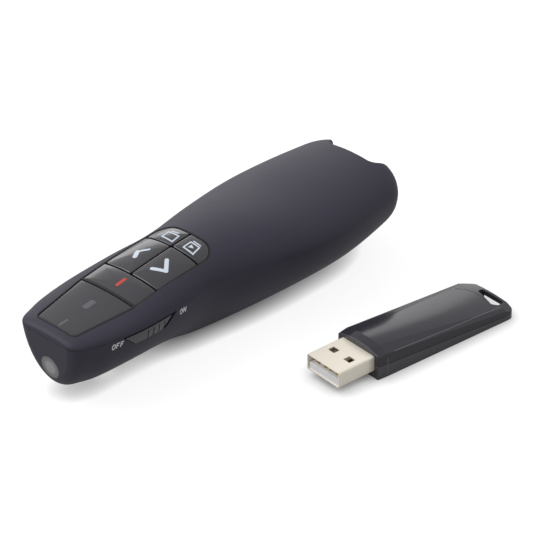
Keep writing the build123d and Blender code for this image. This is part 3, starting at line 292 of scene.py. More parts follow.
def stem_mesh(x, station, top, bottom, size):
    """Square stem under a key, from one depth to another."""
    vertices = [keypad_point(x + a * size / 2, station + b * size / 2, -depth)
                for depth in (top, bottom) for a, b in ((-1, -1), (1, -1), (1, 1), (-1, 1))]
    faces = [(0, 1, 2, 3), (7, 6, 5, 4)] + [(i, (i + 1) % 4, 4 + (i + 1) % 4, 4 + i) for i in range(4)]
    return vertices, faces


def joined(*meshes):
    """One list of vertices and faces from several."""
    vertices, faces = [], []
    for some_vertices, some_faces in meshes:
        faces += [tuple(i + len(vertices) for i in face) for face in some_faces]
        vertices += some_vertices
    return vertices, faces


def ribbon(points, width, lay, closed=False, round_ends=False, proud=PRINT_PROUD, sink=PRINT_SINK,
           step=RIBBON_STEP):
    """A thin strip along 2-D points, laid on a surface by lay(x, y, height), as a closed solid."""
    dense = []
    spans = list(zip(points, points[1:] + points[:1])) if closed else list(zip(points, points[1:]))
    for a, b in spans:
        a, b = Vector(a), Vector(b)
        pieces = max(1, int((b - a).length / step))
        dense += [a + (b - a) * k / pieces for k in range(pieces)]
    if not closed:
        dense.append(Vector(points[-1]))
    rows = []
    last = len(dense) - 1
    for i, p in enumerate(dense):
        before = dense[i - 1] if closed or i > 0 else p
        after = dense[(i + 1) % len(dense)] if closed or i < last else p
        d = (p - before).normalized() if before != p else (after - p).normalized()
        e = (after - p).normalized() if after != p else d
        middle = (d + e).normalized()
        side = Vector((-middle.y, middle.x))
        stretch = 1 / max(MITRE_LIMIT, middle.dot(d))
        rows.append([p + side * (width / 2 * stretch * share) for share in (-1, 0, 1)])
    if round_ends and not closed:
        for end in (0, -1):
            p = rows[end][1]
            q = rows[1 if end == 0 else -2][1]
            out = (p - q).normalized()
            side = (rows[end][2] - rows[end][0]) / 2
            caps = []
            for k in range(1, ROUND_END_STEPS):
                turn = pi / 2 * k / ROUND_END_STEPS
                spot = p + out * (width / 2 * sin(turn))
                caps.append([spot - side * cos(turn), spot, spot + side * cos(turn)])
            rows = caps[::-1] + rows if end == 0 else rows + caps
    vertices, faces = [], []
    for height in (proud, -sink):
        for row in rows:
            vertices += [lay(q.x, q.y, height) for q in row]
    n = len(rows)
    under = 3 * n
    for i in range(n if closed else n - 1):
        a, b = 3 * i, 3 * ((i + 1) % n)
        for k in (0, 1):
            faces.append((a + k, a + k + 1, b + k + 1, b + k))
            faces.append((under + b + k, under + b + k + 1, under + a + k + 1, under + a + k))
        faces.append((a, b, under + b, under + a))
        faces.append((b + 2, a + 2, under + a + 2, under + b + 2))
    if not closed:
        for a, order in ((0, 1), (3 * (n - 1), -1)):
            for k in (0, 1):
                quad = (a + k + 1, a + k, under + a + k, under + a + k + 1)
                faces.append(quad if order > 0 else quad[::-1])
    return vertices, faces


def patch(outline, lay, proud=PRINT_PROUD, sink=PRINT_SINK):
    """A thin filled shape inside a closed 2-D outline, laid on a surface, as a closed solid."""
    centre = sum((Vector(p) for p in outline), Vector((0, 0))) / len(outline)
    count = len(outline)
    vertices = []
    for k in range(PATCH_RINGS):
        for p in outline:
            q = Vector(p) + (centre - Vector(p)) * k / PATCH_RINGS
            vertices.append(lay(q.x, q.y, proud))
    faces = ring_faces(PATCH_RINGS, count)
    faces += fan(len(vertices) - count, count, len(vertices))
    vertices.append(lay(centre.x, centre.y, proud))
    low = len(vertices)
    vertices += [lay(p[0], p[1], -sink) for p in outline]
    vertices.append(lay(centre.x, centre.y, -sink))
    faces += [(i, low + i, low + (i + 1) % count, (i + 1) % count) for i in range(count)]
    faces += fan(low, count, low + count, flipped=True)
    return vertices, faces


# ---------------------------------------------------------------- materials
BEVEL_SAMPLES, COAT_ROUGHNESS = 6, 0.06
CLOUD_SCALE, CLOUD_DETAIL, CLOUD_ENDS = 60.0, 3.0, (0.3, 0.7)
GRAIN_SCALE, GRAIN_DETAIL, GRAIN_DEPTH = 9000.0, 2.0, 0.02 * MM
DRAWN_STRETCH = (4000.0, 200.0, 4000.0)
MOULDED_SPREAD, METAL_SPREAD = (0.9, 1.1), (0.8, 1.25)      # least and greatest share of the roughness
METAL_EDGE = 0.08 * MM
LENS_ROUGHNESS = 0.3
LENS_STOPS = ((0.0, 152), (0.5, 148), (0.64, 118), (0.9, 110), (1.0, 72))      # share of radius, sRGB level


def new_material(name):
    """A material, its nodes, its links and its shader."""
    material = bpy.data.materials.new(name)
    material.use_nodes = True
    nodes, links = material.node_tree.nodes, material.node_tree.links
    return material, nodes, links, nodes["Principled BSDF"]


def add_node(nodes, kind, inputs=(), operation=None):
    """A new shader node with some of its inputs set."""
    node = nodes.new("ShaderNode" + kind)
    if operation:
        node.operation = operation
    for key, value in dict(inputs).items():
        node.inputs[key].default_value = value
    return node


def vary(nodes, links, shader, noise, ends, colours, roughness):
    """Let a noise run the base colour and the roughness from one value to another."""
    ramp = add_node(nodes, "ValToRGB")
    for element, position, colour in zip(ramp.color_ramp.elements, ends, colours):
        element.position = position
        element.color = (*colour, 1)
    links.new(noise.outputs["Fac"], ramp.inputs["Fac"])
    links.new(ramp.outputs["Color"], shader.inputs["Base Color"])
    low, high = roughness
    rough = add_node(nodes, "MapRange", {"To Min": low, "To Max": high})
    links.new(noise.outputs["Fac"], rough.inputs["Value"])
    links.new(rough.outputs["Result"], shader.inputs["Roughness"])


def soft_edges(nodes, radius):
    """Node that rounds the edges' shading."""
    rounded = add_node(nodes, "Bevel", {"Radius": radius})
    rounded.samples = BEVEL_SAMPLES
    return rounded


def moulded(name, colour, roughness, grain=0.0, coat=0.0, edge=0.12, tone=0.12, specular=0.5):
    """Moulded plastic: slight tone changes, a fine spark-eroded grain and softly rounded edges."""
    material, nodes, links, shader = new_material(name)
    place = add_node(nodes, "TexCoord")
    cloud = add_node(nodes, "TexNoise", {"Scale": CLOUD_SCALE, "Detail": CLOUD_DETAIL})
    links.new(place.outputs["Object"], cloud.inputs["Vector"])
    vary(nodes, links, shader, cloud, CLOUD_ENDS,
         ([c * (1 - tone) for c in colour], [c * (1 + tone) for c in colour]),
         [roughness * share for share in MOULDED_SPREAD])
    shader.inputs["Specular IOR Level"].default_value = specular
    shader.inputs["Coat Weight"].default_value = coat
    shader.inputs["Coat Roughness"].default_value = COAT_ROUGHNESS
    normal = soft_edges(nodes, edge * MM).outputs["Normal"]
    if grain:
        speckle = add_node(nodes, "TexNoise", {"Scale": GRAIN_SCALE, "Detail": GRAIN_DETAIL})
        links.new(place.outputs["Object"], speckle.inputs["Vector"])
        bump = add_node(nodes, "Bump", {"Strength": grain, "Distance": GRAIN_DEPTH})
        links.new(speckle.outputs["Fac"], bump.inputs["Height"])
        links.new(normal, bump.inputs["Normal"])
        normal = bump.outputs["Normal"]
    links.new(normal, shader.inputs["Normal"])
    return material


def metal(name, colour, roughness, scratch=0.15, metallic=1.0):
    """Bare or plated metal with a faint drawn grain."""
    material, nodes, links, shader = new_material(name)
    place = add_node(nodes, "TexCoord")
    stretch = add_node(nodes, "Mapping", {"Scale": DRAWN_STRETCH})
    links.new(place.outputs["Object"], stretch.inputs["Vector"])
    noise = add_node(nodes, "TexNoise", {"Scale": 1.0, "Detail": GRAIN_DETAIL})
    links.new(stretch.outputs["Vector"], noise.inputs["Vector"])
    vary(nodes, links, shader, noise, (0.0, 1.0), ([c * (1 - scratch) for c in colour], colour),
         [roughness * share for share in METAL_SPREAD])
    shader.inputs["Metallic"].default_value = metallic
    links.new(soft_edges(nodes, METAL_EDGE).outputs["Normal"], shader.inputs["Normal"])
    return material


def srgb(*levels):
    """Linear colour of 8-bit sRGB levels."""
    return [((v / 255 + 0.055) / 1.055) ** 2.4 if v > 10 else v / 255 / 12.92 for v in levels]


def lens_material():
    """Smoked laser window: a grey rim round a paler core."""
    material, nodes, links, shader = new_material("laser_lens")
    place = add_node(nodes, "TexCoord")
    shift = add_node(nodes, "VectorMath", {1: (0, 0, LASER_AXIS_HEIGHT * MM)}, "SUBTRACT")
    flat = add_node(nodes, "VectorMath", {1: (1 / MM, 0, 1 / MM)}, "MULTIPLY")
    reach = add_node(nodes, "VectorMath", operation="LENGTH")
    share = add_node(nodes, "Math", {1: LENS_RADIUS}, "DIVIDE")
    ramp = add_node(nodes, "ValToRGB")
    links.new(place.outputs["Object"], shift.inputs[0])
    links.new(shift.outputs["Vector"], flat.inputs[0])
    links.new(flat.outputs["Vector"], reach.inputs[0])
    links.new(reach.outputs["Value"], share.inputs[0])
    links.new(share.outputs["Value"], ramp.inputs["Fac"])
    while len(ramp.color_ramp.elements) < len(LENS_STOPS):
        ramp.color_ramp.elements.new(0.5)
    for element, (position, tone) in zip(ramp.color_ramp.elements, LENS_STOPS):
        element.position = position
        element.color = (*srgb(tone, tone, tone + 2), 1)
    links.new(ramp.outputs["Color"], shader.inputs["Base Color"])
    shader.inputs["Roughness"].default_value = LENS_ROUGHNESS
    return material


SHELL = moulded("soft_touch_shell", srgb(50, 47, 61), 0.5, grain=0.25, edge=0.15, tone=0.04, specular=0.3)
KEY = moulded("key_plastic", srgb(36, 35, 43), 0.26, grain=0.08, edge=0.05, tone=0.05, coat=0.6)
PANEL = moulded("smoked_panel", srgb(42, 41, 48), 0.22, edge=0.05, tone=0.04, coat=0.4)
WINDOW_TINT = moulded("panel_window", srgb(88, 86, 93), 0.3, edge=0.02, tone=0.03)
WHITE_INK = moulded("white_ink", srgb(205, 214, 226), 0.5, edge=0.02, tone=0.03)
RED_INK = moulded("red_ink", srgb(190, 56, 50), 0.45, edge=0.02, tone=0.04)
GREY_INK = moulded("grey_ink", srgb(222, 222, 224), 0.5, edge=0.02, tone=0.03)
# Painted shade: a dark colour for lines that stand in for the shadow in gaps, in seams and along an edge
LINE_SHADE = moulded("seam_shadow", srgb(22, 22, 24), 0.7, edge=0.02, tone=0.03)
# Painted highlight: a light colour for lines on the receiver's collar edges, crease and lip
EDGE_HIGHLIGHT = moulded("receiver_edge_highlight", srgb(92, 91, 97), 0.25, edge=0.02, tone=0.04)
# Painted shade: a dark colour for the receiver's notches and the collar's front recess
RECESS_SHADE = moulded("receiver_recess_shade", srgb(38, 37, 42), 0.4, edge=0.02, tone=0.04)
INNER = moulded("inner_plastic", srgb(40, 40, 42), 0.6, grain=0.2)
BOARD = moulded("circuit_board", srgb(20, 80, 48), 0.4, edge=0.05)
CHIP = moulded("chip_epoxy", srgb(36, 36, 38), 0.55, grain=0.3, edge=0.05)
LAMP = moulded("clear_lamp", srgb(225, 225, 215), 0.2, edge=0.1)
TONGUE = moulded("tongue_white", srgb(238, 238, 240), 0.45, edge=0.1)
CELL = moulded("cell_sleeve", srgb(70, 72, 76), 0.3, edge=0.3)
GLOSS = moulded("receiver_gloss", srgb(50, 49, 56), 0.16, edge=0.25, tone=0.04, specular=0.32)
SATIN = moulded("receiver_satin", srgb(68, 67, 72), 0.3, grain=0.1, edge=0.2, tone=0.05)
STEEL = metal("plug_steel", srgb(251, 243, 228), 0.33, metallic=0.3, scratch=0.08)
CONTACT = metal("contact_steel", srgb(200, 200, 196), 0.3)
BRASS = metal("turned_brass", srgb(205, 170, 105), 0.3)
GOLD = metal("contact_gold", srgb(225, 185, 105), 0.25)
SCREW = metal("dark_screw", srgb(120, 120, 122), 0.4)
WINDOW = lens_material()

LOOKS = {
    "shell_grey": SHELL, "key_grey": KEY, "panel_smoke": PANEL, "inner_black": INNER,
    "board_green": BOARD, "chip_black": CHIP, "switch_black": CHIP, "contact_steel": CONTACT,
    "plug_steel": STEEL, "barrel_brass": BRASS, "diode_gold": GOLD, "window_clear": WINDOW,
    "lamp_clear": LAMP, "cell_case": CELL, "tongue_white": TONGUE, "contact_gold": GOLD,
    "receiver_gloss": GLOSS, "receiver_matt": SATIN, "screw_steel": SCREW,
}
SLOTS = {s["node"]: s["material_slot"] for s in frame["record"]["subparts"]}
for node_name, node in frame["nodes"].items():
    for material_slot in node.material_slots:
        material_slot.material = LOOKS[SLOTS[node_name]]

# ---------------------------------------------------------------- keys and the indicator panel
KEY_CORNER, PANEL_REAR_CORNER = 0.5, 0.3
KEY_RECESS, KEY_EDGE, KEY_CROWN = 0.12, 0.3, 0.22


def keypad_side(station, gap):
    """Half width of the keypad at a station, less a gap."""
    share = min((station - KEYPAD_FRONT) / (LASER_KEY_FRONT - KEYPAD_FRONT), 1)
    return KEYPAD_FRONT_HALF_WIDTH + (KEYPAD_HALF_WIDTH - KEYPAD_FRONT_HALF_WIDTH) * share - gap


def cell_corners(left, right, front, end, end_radius=KEY_CORNER):
    """Corners of a key between two X values and two stations: its outer rear corner can be rounder."""
    return [(left, front, KEY_CORNER), (right, front, KEY_CORNER),
            (right, end, end_radius if left > 0 else KEY_CORNER),
            (left, end, end_radius if right < 0 else KEY_CORNER)]


SIDE = KEYPAD_HALF_WIDTH - KEY_GAP
HALF_GAP = KEY_GAP / 2
PANEL_START, PANEL_STOP = KEYPAD_FRONT + PANEL_GAP, LASER_KEY_FRONT - HALF_GAP
PANEL_CORNER = KEYPAD_CORNER - PANEL_GAP
PANEL_CORNERS = [
    (-keypad_side(PANEL_START, PANEL_GAP), PANEL_START, PANEL_CORNER),
    (keypad_side(PANEL_START, PANEL_GAP), PANEL_START, PANEL_CORNER),
    (keypad_side(PANEL_STOP, PANEL_GAP), PANEL_STOP, PANEL_REAR_CORNER),
    (-keypad_side(PANEL_STOP, PANEL_GAP), PANEL_STOP, PANEL_REAR_CORNER),
]
REAR = KEYPAD_END - KEY_GAP
REAR_CORNER = KEYPAD_END_CORNER - KEY_GAP
ARROW_START, ARROW_STOP = ARROW_KEYS_FRONT + HALF_GAP, SCREEN_KEYS_FRONT - HALF_GAP
KEY_CORNERS = {
    "laser_key": cell_corners(-SIDE, SIDE, LASER_KEY_FRONT + HALF_GAP, ARROW_KEYS_FRONT - HALF_GAP),
    "next_key": cell_corners(-SIDE, -HALF_GAP, ARROW_START, ARROW_STOP),
    "previous_key": cell_corners(HALF_GAP, SIDE, ARROW_START, ARROW_STOP),
    "start_show_key": cell_corners(-SIDE, -HALF_GAP, SCREEN_KEYS_FRONT + HALF_GAP, REAR, REAR_CORNER),
    "blank_screen_key": cell_corners(HALF_GAP, SIDE, SCREEN_KEYS_FRONT + HALF_GAP, REAR, REAR_CORNER),
}
STEM_REACH = KEYPAD_HALF_WIDTH / 2 + HALF_GAP / 2
ARROW_MIDDLE, SCREEN_MIDDLE = (ARROW_KEYS_FRONT + SCREEN_KEYS_FRONT) / 2, (SCREEN_KEYS_FRONT + KEYPAD_END) / 2
# X and station of the stem under each key
KEY_STEMS = {
    "laser_key": (0.0, (LASER_KEY_FRONT + ARROW_KEYS_FRONT) / 2),
    "next_key": (-STEM_REACH, ARROW_MIDDLE),
    "previous_key": (STEM_REACH, ARROW_MIDDLE),
    "start_show_key": (-STEM_REACH, SCREEN_MIDDLE),
    "blank_screen_key": (STEM_REACH, SCREEN_MIDDLE),
}


def surface_tree(vertices, faces):
    """Ray-casting tree of a mesh given in mm."""
    return BVHTree.FromPolygons([Vector(v) * MM for v in vertices], faces)


def lay_on(tree):
    """A function that puts a point of the keypad's plan on a surface."""
    def lay(x, station, height):
        return keypad_point(x, station, height_on(tree, x, station) + height)
    return lay


cap_lay = {}
for key_name, corners in KEY_CORNERS.items():
    cap = cap_mesh(corners, CAP_DEPTH, KEY_RECESS, KEY_EDGE, KEY_CROWN)
    cap_lay[key_name] = lay_on(surface_tree(*cap))
    stem = stem_mesh(*KEY_STEMS[key_name], CAP_DEPTH - STEM_OVERLAP, STEM_BOTTOM, STEM_SIZE)
    piece = new_piece(key_name + "_cap", *joined(cap, stem), KEY, key_name)
    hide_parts(key_name)

panel = cap_mesh(PANEL_CORNERS, PANEL_DEPTH, KEY_RECESS, KEY_EDGE, crown=0.0)
panel_lay = lay_on(surface_tree(*panel))
piece = new_piece("smoked_indicator_panel", *panel, PANEL, "handset")
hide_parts("indicator_panel")


def printed(name, mesh, material, body, slot_name):
    """A thin piece that rides on a body; the slot's name is not used."""
    piece = new_piece(name, *mesh, material, body)


# Painted shade: dark lines at the bottom of the gaps round the panel and round the keys stand in for the shadow
# in the gaps
form_lay = lay_on(FORM)
GAP_LINE_WIDTH, GAP_LINE_SHIFT = 0.42, 0.17
PANEL_LINE_PROUD, PANEL_LINE_SINK = 0.09, 0.4
KEYPAD_LINE_PROUD, KEYPAD_LINE_SINK = -0.1, 0.6
printed("panel_gap_shade",
        ribbon(rounded_outline(PANEL_CORNERS, -GAP_LINE_SHIFT), GAP_LINE_WIDTH, form_lay, closed=True,
               proud=PANEL_LINE_PROUD, sink=PANEL_LINE_SINK),
        LINE_SHADE, "handset", "shell_grey")
KEYPAD_START = LASER_KEY_FRONT + HALF_GAP
KEYPAD_RING = [(-KEYPAD_HALF_WIDTH, KEYPAD_START, PANEL_REAR_CORNER),
               (KEYPAD_HALF_WIDTH, KEYPAD_START, PANEL_REAR_CORNER),
               (KEYPAD_HALF_WIDTH, KEYPAD_END, KEYPAD_END_CORNER),
               (-KEYPAD_HALF_WIDTH, KEYPAD_END, KEYPAD_END_CORNER)]
printed("keypad_gap_shade",
        ribbon(rounded_outline(KEYPAD_RING, GAP_LINE_SHIFT), GAP_LINE_WIDTH, form_lay, closed=True,
               proud=KEYPAD_LINE_PROUD, sink=KEYPAD_LINE_SINK),
        LINE_SHADE, "handset", "shell_grey")

# ---------------------------------------------------------------- windows of the panel and marks on the keys
BAR_CORNER_STEPS = 5
# X, front, end, width and corner radius of each bar
WIDE_WINDOW = (-0.4, 12.5, 16.0, 1.8, 0.4)
NARROW_WINDOW = (-0.7, 3.8, 6.8, 0.7, 0.2)
LASER_BAR = (-0.6, 23.3, 26.7, 1.0, 0.2)


def bar(x, front, end, width, radius):
    """Outline of a small rounded bar along the keypad."""
    return rounded_outline([(x - width / 2, front, radius), (x + width / 2, front, radius),
                            (x + width / 2, end, radius), (x - width / 2, end, radius)],
                           arc_steps=BAR_CORNER_STEPS)


printed("wide_window", patch(bar(*WIDE_WINDOW), panel_lay), WINDOW_TINT, "handset", "panel_smoke")
printed("narrow_window", patch(bar(*NARROW_WINDOW), panel_lay), WINDOW_TINT, "handset", "panel_smoke")
printed("laser_mark", patch(bar(*LASER_BAR), cap_lay["laser_key"]), RED_INK, "laser_key", "key_grey")

# Chevrons: three points and the widths of the two strokes
SECOND_STROKE_PROUD = 0.03
NEXT_CHEVRON = ([(-3.1, 33.4), (-6.4, 35.05), (-3.5, 38.2)], (1.1, 1.1))
PREVIOUS_CHEVRON = ([(4.05, 34.3), (5.15, 36.3), (3.3, 38.6)], (1.25, 0.75))


def key_print(name, key, mesh):
    """A white mark on a key."""
    printed(name, mesh, WHITE_INK, key, "key_grey")


def chevron(points, widths, lay):
    """Two rounded strokes that meet in the middle point; the second lies a hair higher."""
    first, second = widths
    return joined(ribbon(points[:2], first, lay, round_ends=True),
                  ribbon(points[1:], second, lay, round_ends=True, proud=SECOND_STROKE_PROUD))


key_print("next_mark", "next_key", chevron(*NEXT_CHEVRON, cap_lay["next_key"]))
key_print("previous_mark", "previous_key", chevron(*PREVIOUS_CHEVRON, cap_lay["previous_key"]))

# Screen signs: a frame, a line over it and, for the start key, a triangle in it
ICON_STROKE = 0.42
SCREEN_ICON = [(5.11, 44.87), (5.26, 47.31), (1.5, 47.31), (1.10, 44.52)]
SCREEN_ICON_LINE = [(4.86, 47.95), (2.29, 48.25)]
SHOW_ICON = [(-2.87, 44.68), (-2.74, 47.4), (-5.80, 47.4), (-6.39, 44.49)]
SHOW_ICON_LINE = [(-2.9, 48.1), (-5.6, 48.1)]
SHOW_ICON_SIGN = [(-3.7, 45.4), (-3.7, 46.8), (-5.1, 46.1)]


def screen_sign(frame_points, line, lay):
    """A frame and the line over it."""
    return joined(ribbon(frame_points, ICON_STROKE, lay, closed=True), ribbon(line, ICON_STROKE, lay))


show_lay = cap_lay["start_show_key"]
key_print("blank_screen_mark", "blank_screen_key",
          screen_sign(SCREEN_ICON, SCREEN_ICON_LINE, cap_lay["blank_screen_key"]))
key_print("start_show_mark", "start_show_key",
          joined(screen_sign(SHOW_ICON, SHOW_ICON_LINE, show_lay), patch(SHOW_ICON_SIGN, show_lay)))


# ---------------------------------------------------------------- lettering, the slider's grooves, painted shade of the parting line
def lay_on_side(station, z, height):
    """Point on the -X side of the handset at a station and a height over the table."""
    start = Vector((-SIDE_RAY, REST_STATION - station, z))
    spot, normal = FORM.ray_cast(start * MM, Vector((1, 0, 0)))[:2]
    if normal.x > 0:
        normal = -normal
    return spot / MM + normal * height


# Strokes of each letter, which is 1.4 high, and whether they are closed
LETTER_O = [(0.45 + 0.42 * cos(turn), 0.7 + 0.7 * sin(turn)) for turn in (2 * pi * k / 16 for k in range(16))]
LETTERS = {
    "O": [(LETTER_O, True)],
    "F": [([(0.1, 0.0), (0.1, 1.4), (0.85, 1.4)], False), ([(0.1, 0.75), (0.7, 0.75)], False)],
    "N": [([(0.1, 0.0), (0.1, 1.4), (0.9, 0.0), (0.9, 1.4)], False)],
}
LETTER_STEP, LETTER_STROKE, LETTER_SLANT, LETTER_FINENESS = 1.2, 0.3, 0.12, 0.2
OFF_PLACE, ON_PLACE = (10.0, 16.1), (32.4, 16.4)      # station and height


def lettering(word, station, z):
    """Strokes of a word that reads towards the tail."""
    strokes = []
    for i, letter in enumerate(word):
        for points, closed in LETTERS[letter]:
            moved = [(station + (LETTER_STEP * i + a + LETTER_SLANT * b), z + b) for a, b in points]
            strokes.append(ribbon(moved, LETTER_STROKE, lay_on_side, closed=closed, step=LETTER_FINENESS))
    return joined(*strokes)


printed("off_mark", lettering("OFF", *OFF_PLACE), GREY_INK, "handset", "shell_grey")
printed("on_mark", lettering("ON", *ON_PLACE), GREY_INK, "handset", "shell_grey")

# The slider's grooves look shallow: their floors lie just over the handset's own surface
SLIDER_MIDDLE, RIDGE_SETBACK, RIDGE_PITCH, RIDGE_WIDTH, RIDGE_COUNT = 21.6, 2.1, 1.9, 0.6, 4
GROOVE_LOW, GROOVE_HIGH = 15.4, 17.8
GROOVE_PROUD, GROOVE_SINK = 0.08, 0.3
SLIDER_END, SLIDER_LEAN = 26.3, 1.09      # station of its rear end at GROOVE_LOW, and how it leans back


def groove_foot(station):
    """The slanted rear end of the slider cuts the last groove short."""
    return max(GROOVE_LOW, GROOVE_LOW + (station - SLIDER_END) / SLIDER_LEAN)


def groove_floor(index):
    """The floor of one groove, counted from the nose."""
    middle = SLIDER_MIDDLE + RIDGE_SETBACK + (index - (RIDGE_COUNT - 1) / 2) * RIDGE_PITCH
    front, end = middle - RIDGE_WIDTH / 2, middle + RIDGE_WIDTH / 2
    corners = [(front, groove_foot(front)), (end, groove_foot(end)), (end, GROOVE_HIGH), (front, GROOVE_HIGH)]
    return patch(corners, lay_on_side, proud=GROOVE_PROUD, sink=GROOVE_SINK)


slider_slot = SLOTS["power_slider"]
printed("slider_groove_floors", joined(*[groove_floor(i) for i in range(RIDGE_COUNT)]),
        LOOKS[slider_slot], "power_slider", slider_slot)

PARTING_HALF_HEIGHT, PARTING_PROUD, PARTING_SINK, PARTING_END = 0.09, 0.015, 0.2, 15.4
PARTING_MIDDLE = 10.0      # a Y well behind the line's front, to tell outward from inward


def parting_line_shade():
    """A narrow dark line of painted shade round the nose and the sides where the two shells meet, in place of
    the gap's shadow.
    """
    stations = [PARTING_END * (1 - cos(pi / 2 * k / PARTING_STEPS)) for k in range(PARTING_STEPS + 1)]
    loop = []
    for station in stations[::-1]:
        half_width = section_points(station, 1)[0].x / MM
        loop.append((half_width, REST_STATION - station))
    front = loop[-1][0]
    loop += [(front * (1 - 2 * k / PARTING_FRONT_STEPS), REST_STATION) for k in range(1, PARTING_FRONT_STEPS)]
    loop += [(-x, y) for x, y in loop[:PARTING_STEPS + 1]][::-1]
    rim = [(PARTING_PROUD, PARTING_HALF_HEIGHT), (PARTING_PROUD, -PARTING_HALF_HEIGHT),
           (-PARTING_SINK, -PARTING_HALF_HEIGHT), (-PARTING_SINK, PARTING_HALF_HEIGHT)]
    vertices, faces = [], []
    for i, (x, y) in enumerate(loop):
        a, b = Vector(loop[max(i - 1, 0)]), Vector(loop[min(i + 1, len(loop) - 1)])
        run = (b - a).normalized()
        out = Vector((-run.y, run.x))
        if out.dot(Vector((x, y - PARTING_MIDDLE))) < 0:
            out = -out
        for reach, height in rim:
            vertices.append((x + out.x * reach, y + out.y * reach, PARTING_HEIGHT + height))
    for i in range(len(loop) - 1):
        for k in range(4):
            faces.append((4 * i + k, 4 * i + (k + 1) % 4, 4 * i + 4 + (k + 1) % 4, 4 * i + 4 + k))
    last = 4 * (len(loop) - 1)
    faces += [(0, 1, 2, 3), (last + 3, last + 2, last + 1, last)]
    return vertices, faces


printed("parting_line_shade", parting_line_shade(), LINE_SHADE, "handset", "shell_grey")

# ---------------------------------------------------------------- painted highlight and shade lines and painted recess shade on the receiver
RECEIVER_PLACE, RECEIVER_YAW = Vector((-45.6, -5.79, 0.0)), radians(-5.8)
RECEIVER_FORWARD = Vector((-sin(RECEIVER_YAW), cos(RECEIVER_YAW), 0))
RECEIVER_SIDE = Vector((cos(RECEIVER_YAW), sin(RECEIVER_YAW), 0))
RECEIVER_LENGTH, RECEIVER_COLLAR_LENGTH, RECEIVER_SLOPE_LENGTH = 46.9, 3.0, 3.2
RECEIVER_FRONT_HALF_WIDTH, RECEIVER_TAIL_HALF_WIDTH, RECEIVER_COLLAR_TUCK = 7.8, 9.0, 0.25
RECEIVER_SEAM, RECEIVER_SEAM_DROP = 3.9, 2.6


def receiver_half_width(distance):
    """Half width of the receiver at a distance behind its collar's front."""
    if distance < RECEIVER_COLLAR_LENGTH:
        return RECEIVER_FRONT_HALF_WIDTH - RECEIVER_COLLAR_TUCK * (1 - distance / RECEIVER_COLLAR_LENGTH)
    flare = RECEIVER_LENGTH - RECEIVER_SLOPE_LENGTH - RECEIVER_COLLAR_LENGTH
    share = (distance - RECEIVER_COLLAR_LENGTH) / flare
    return RECEIVER_FRONT_HALF_WIDTH + (RECEIVER_TAIL_HALF_WIDTH - RECEIVER_FRONT_HALF_WIDTH) * min(share, 1)


def lay_on_receiver(sign):
    """A function that puts a distance and a height on one side of the receiver."""
    def lay(distance, z, height):
        reach = sign * (receiver_half_width(distance) + height)
        return RECEIVER_PLACE - RECEIVER_FORWARD * distance + RECEIVER_SIDE * reach + Vector((0, 0, z))
    return lay


def seam_height(distance):
    """Height of the seam between the receiver's covers."""
    return RECEIVER_SEAM - RECEIVER_SEAM_DROP * distance / RECEIVER_LENGTH


# Rows of the receiver's section: distance, side height, bevel width and bevel rise
RECEIVER_ROWS = [(0.0, 6.6, 3.6, 0.9), (3.0, 6.9, 3.6, 0.9), (43.7, 2.9, 1.2, 0.4), (46.9, 1.7, 3.2, 1.3)]
RECEIVER_CROWN_RISE = 0.3


def lay_on_receiver_top(distance, inward, height, sign=-1):
    """Point of the receiver's top at a distance and at a reach inward from one side."""
    start, end = next(pair for pair in zip(RECEIVER_ROWS, RECEIVER_ROWS[1:]) if distance <= pair[1][0])
    share = (distance - start[0]) / (end[0] - start[0])
    shoulder, bevel_width, bevel_rise = (a + (b - a) * share for a, b in zip(start[1:], end[1:]))
    half_width = receiver_half_width(distance)
    x = half_width - inward
    if abs(x) > half_width - bevel_width:
        z = shoulder + bevel_rise * (half_width - abs(x)) / bevel_width
    else:
        z = shoulder + bevel_rise + RECEIVER_CROWN_RISE * (1 - (x / (half_width - bevel_width)) ** 2)
    return RECEIVER_PLACE - RECEIVER_FORWARD * distance + RECEIVER_SIDE * (sign * x) + Vector((0, 0, z + height))


def lay_on_receiver_front(x, z, height):
    """Point of the collar's front face."""
    return RECEIVER_PLACE + RECEIVER_FORWARD * height + RECEIVER_SIDE * x + Vector((0, 0, z))


def other_top(distance, inward, height):
    """Point of the receiver's top at a reach inward from its other side."""
    return lay_on_receiver_top(distance, inward, height, 1)


def receiver_line(name, points, width, lay, material):
    """A thin line of painted highlight or painted shade on the receiver."""
    printed(name, ribbon(points, width, lay), material, "receiver", "receiver_matt")


def receiver_patch(name, outline, lay):
    """A dark patch of painted shade on the receiver, where a recess would lie in shadow."""
    printed(name, patch(outline, lay), RECESS_SHADE, "receiver", "receiver_matt")


# On the sides: distance and height. On the top: distance and reach inward. The notch has corner radii
SEAM_START, SEAM_END, SEAM_WIDTH = 0.3, 44.0, 0.14
COLLAR_EDGE = [(RECEIVER_COLLAR_LENGTH, 0.8), (RECEIVER_COLLAR_LENGTH, 5.6)]
NOTCH = [(3.5, 4.0, 0.8), (5.6, 3.85, 0.3), (5.6, 6.1, 0.3), (3.5, 6.4, 1.0)]
CREASE, CREASE_WIDTH = [(5.2, 0.12), (24.8, 0.99), (43.5, 2.1)], 0.2
LIP = [(0.2, 0.6 + 0.5 * k) for k in range(29)]
HIGHLIGHT_WIDTH = 0.22
END_LINE, END_LINE_WIDTH = [(40.2, 15.8), (42.2, 14.0), (43.0, 11.8), (43.1, 9.0), (42.6, 6.4)], 0.16
# Painted shade of the recess in the collar's front: an arc over a straight foot
RECESS_HALF_WIDTH, RECESS_TOP, RECESS_DROP, RECESS_FOOT, RECESS_STEPS = 6.9, 7.05, 0.7, 6.2, 8
RECESS_SHARES = [1 - k / RECESS_STEPS for k in range(2 * RECESS_STEPS + 1)]
RECESS_ARC = [(RECESS_HALF_WIDTH * share, RECESS_TOP - RECESS_DROP * share ** 2) for share in RECESS_SHARES]
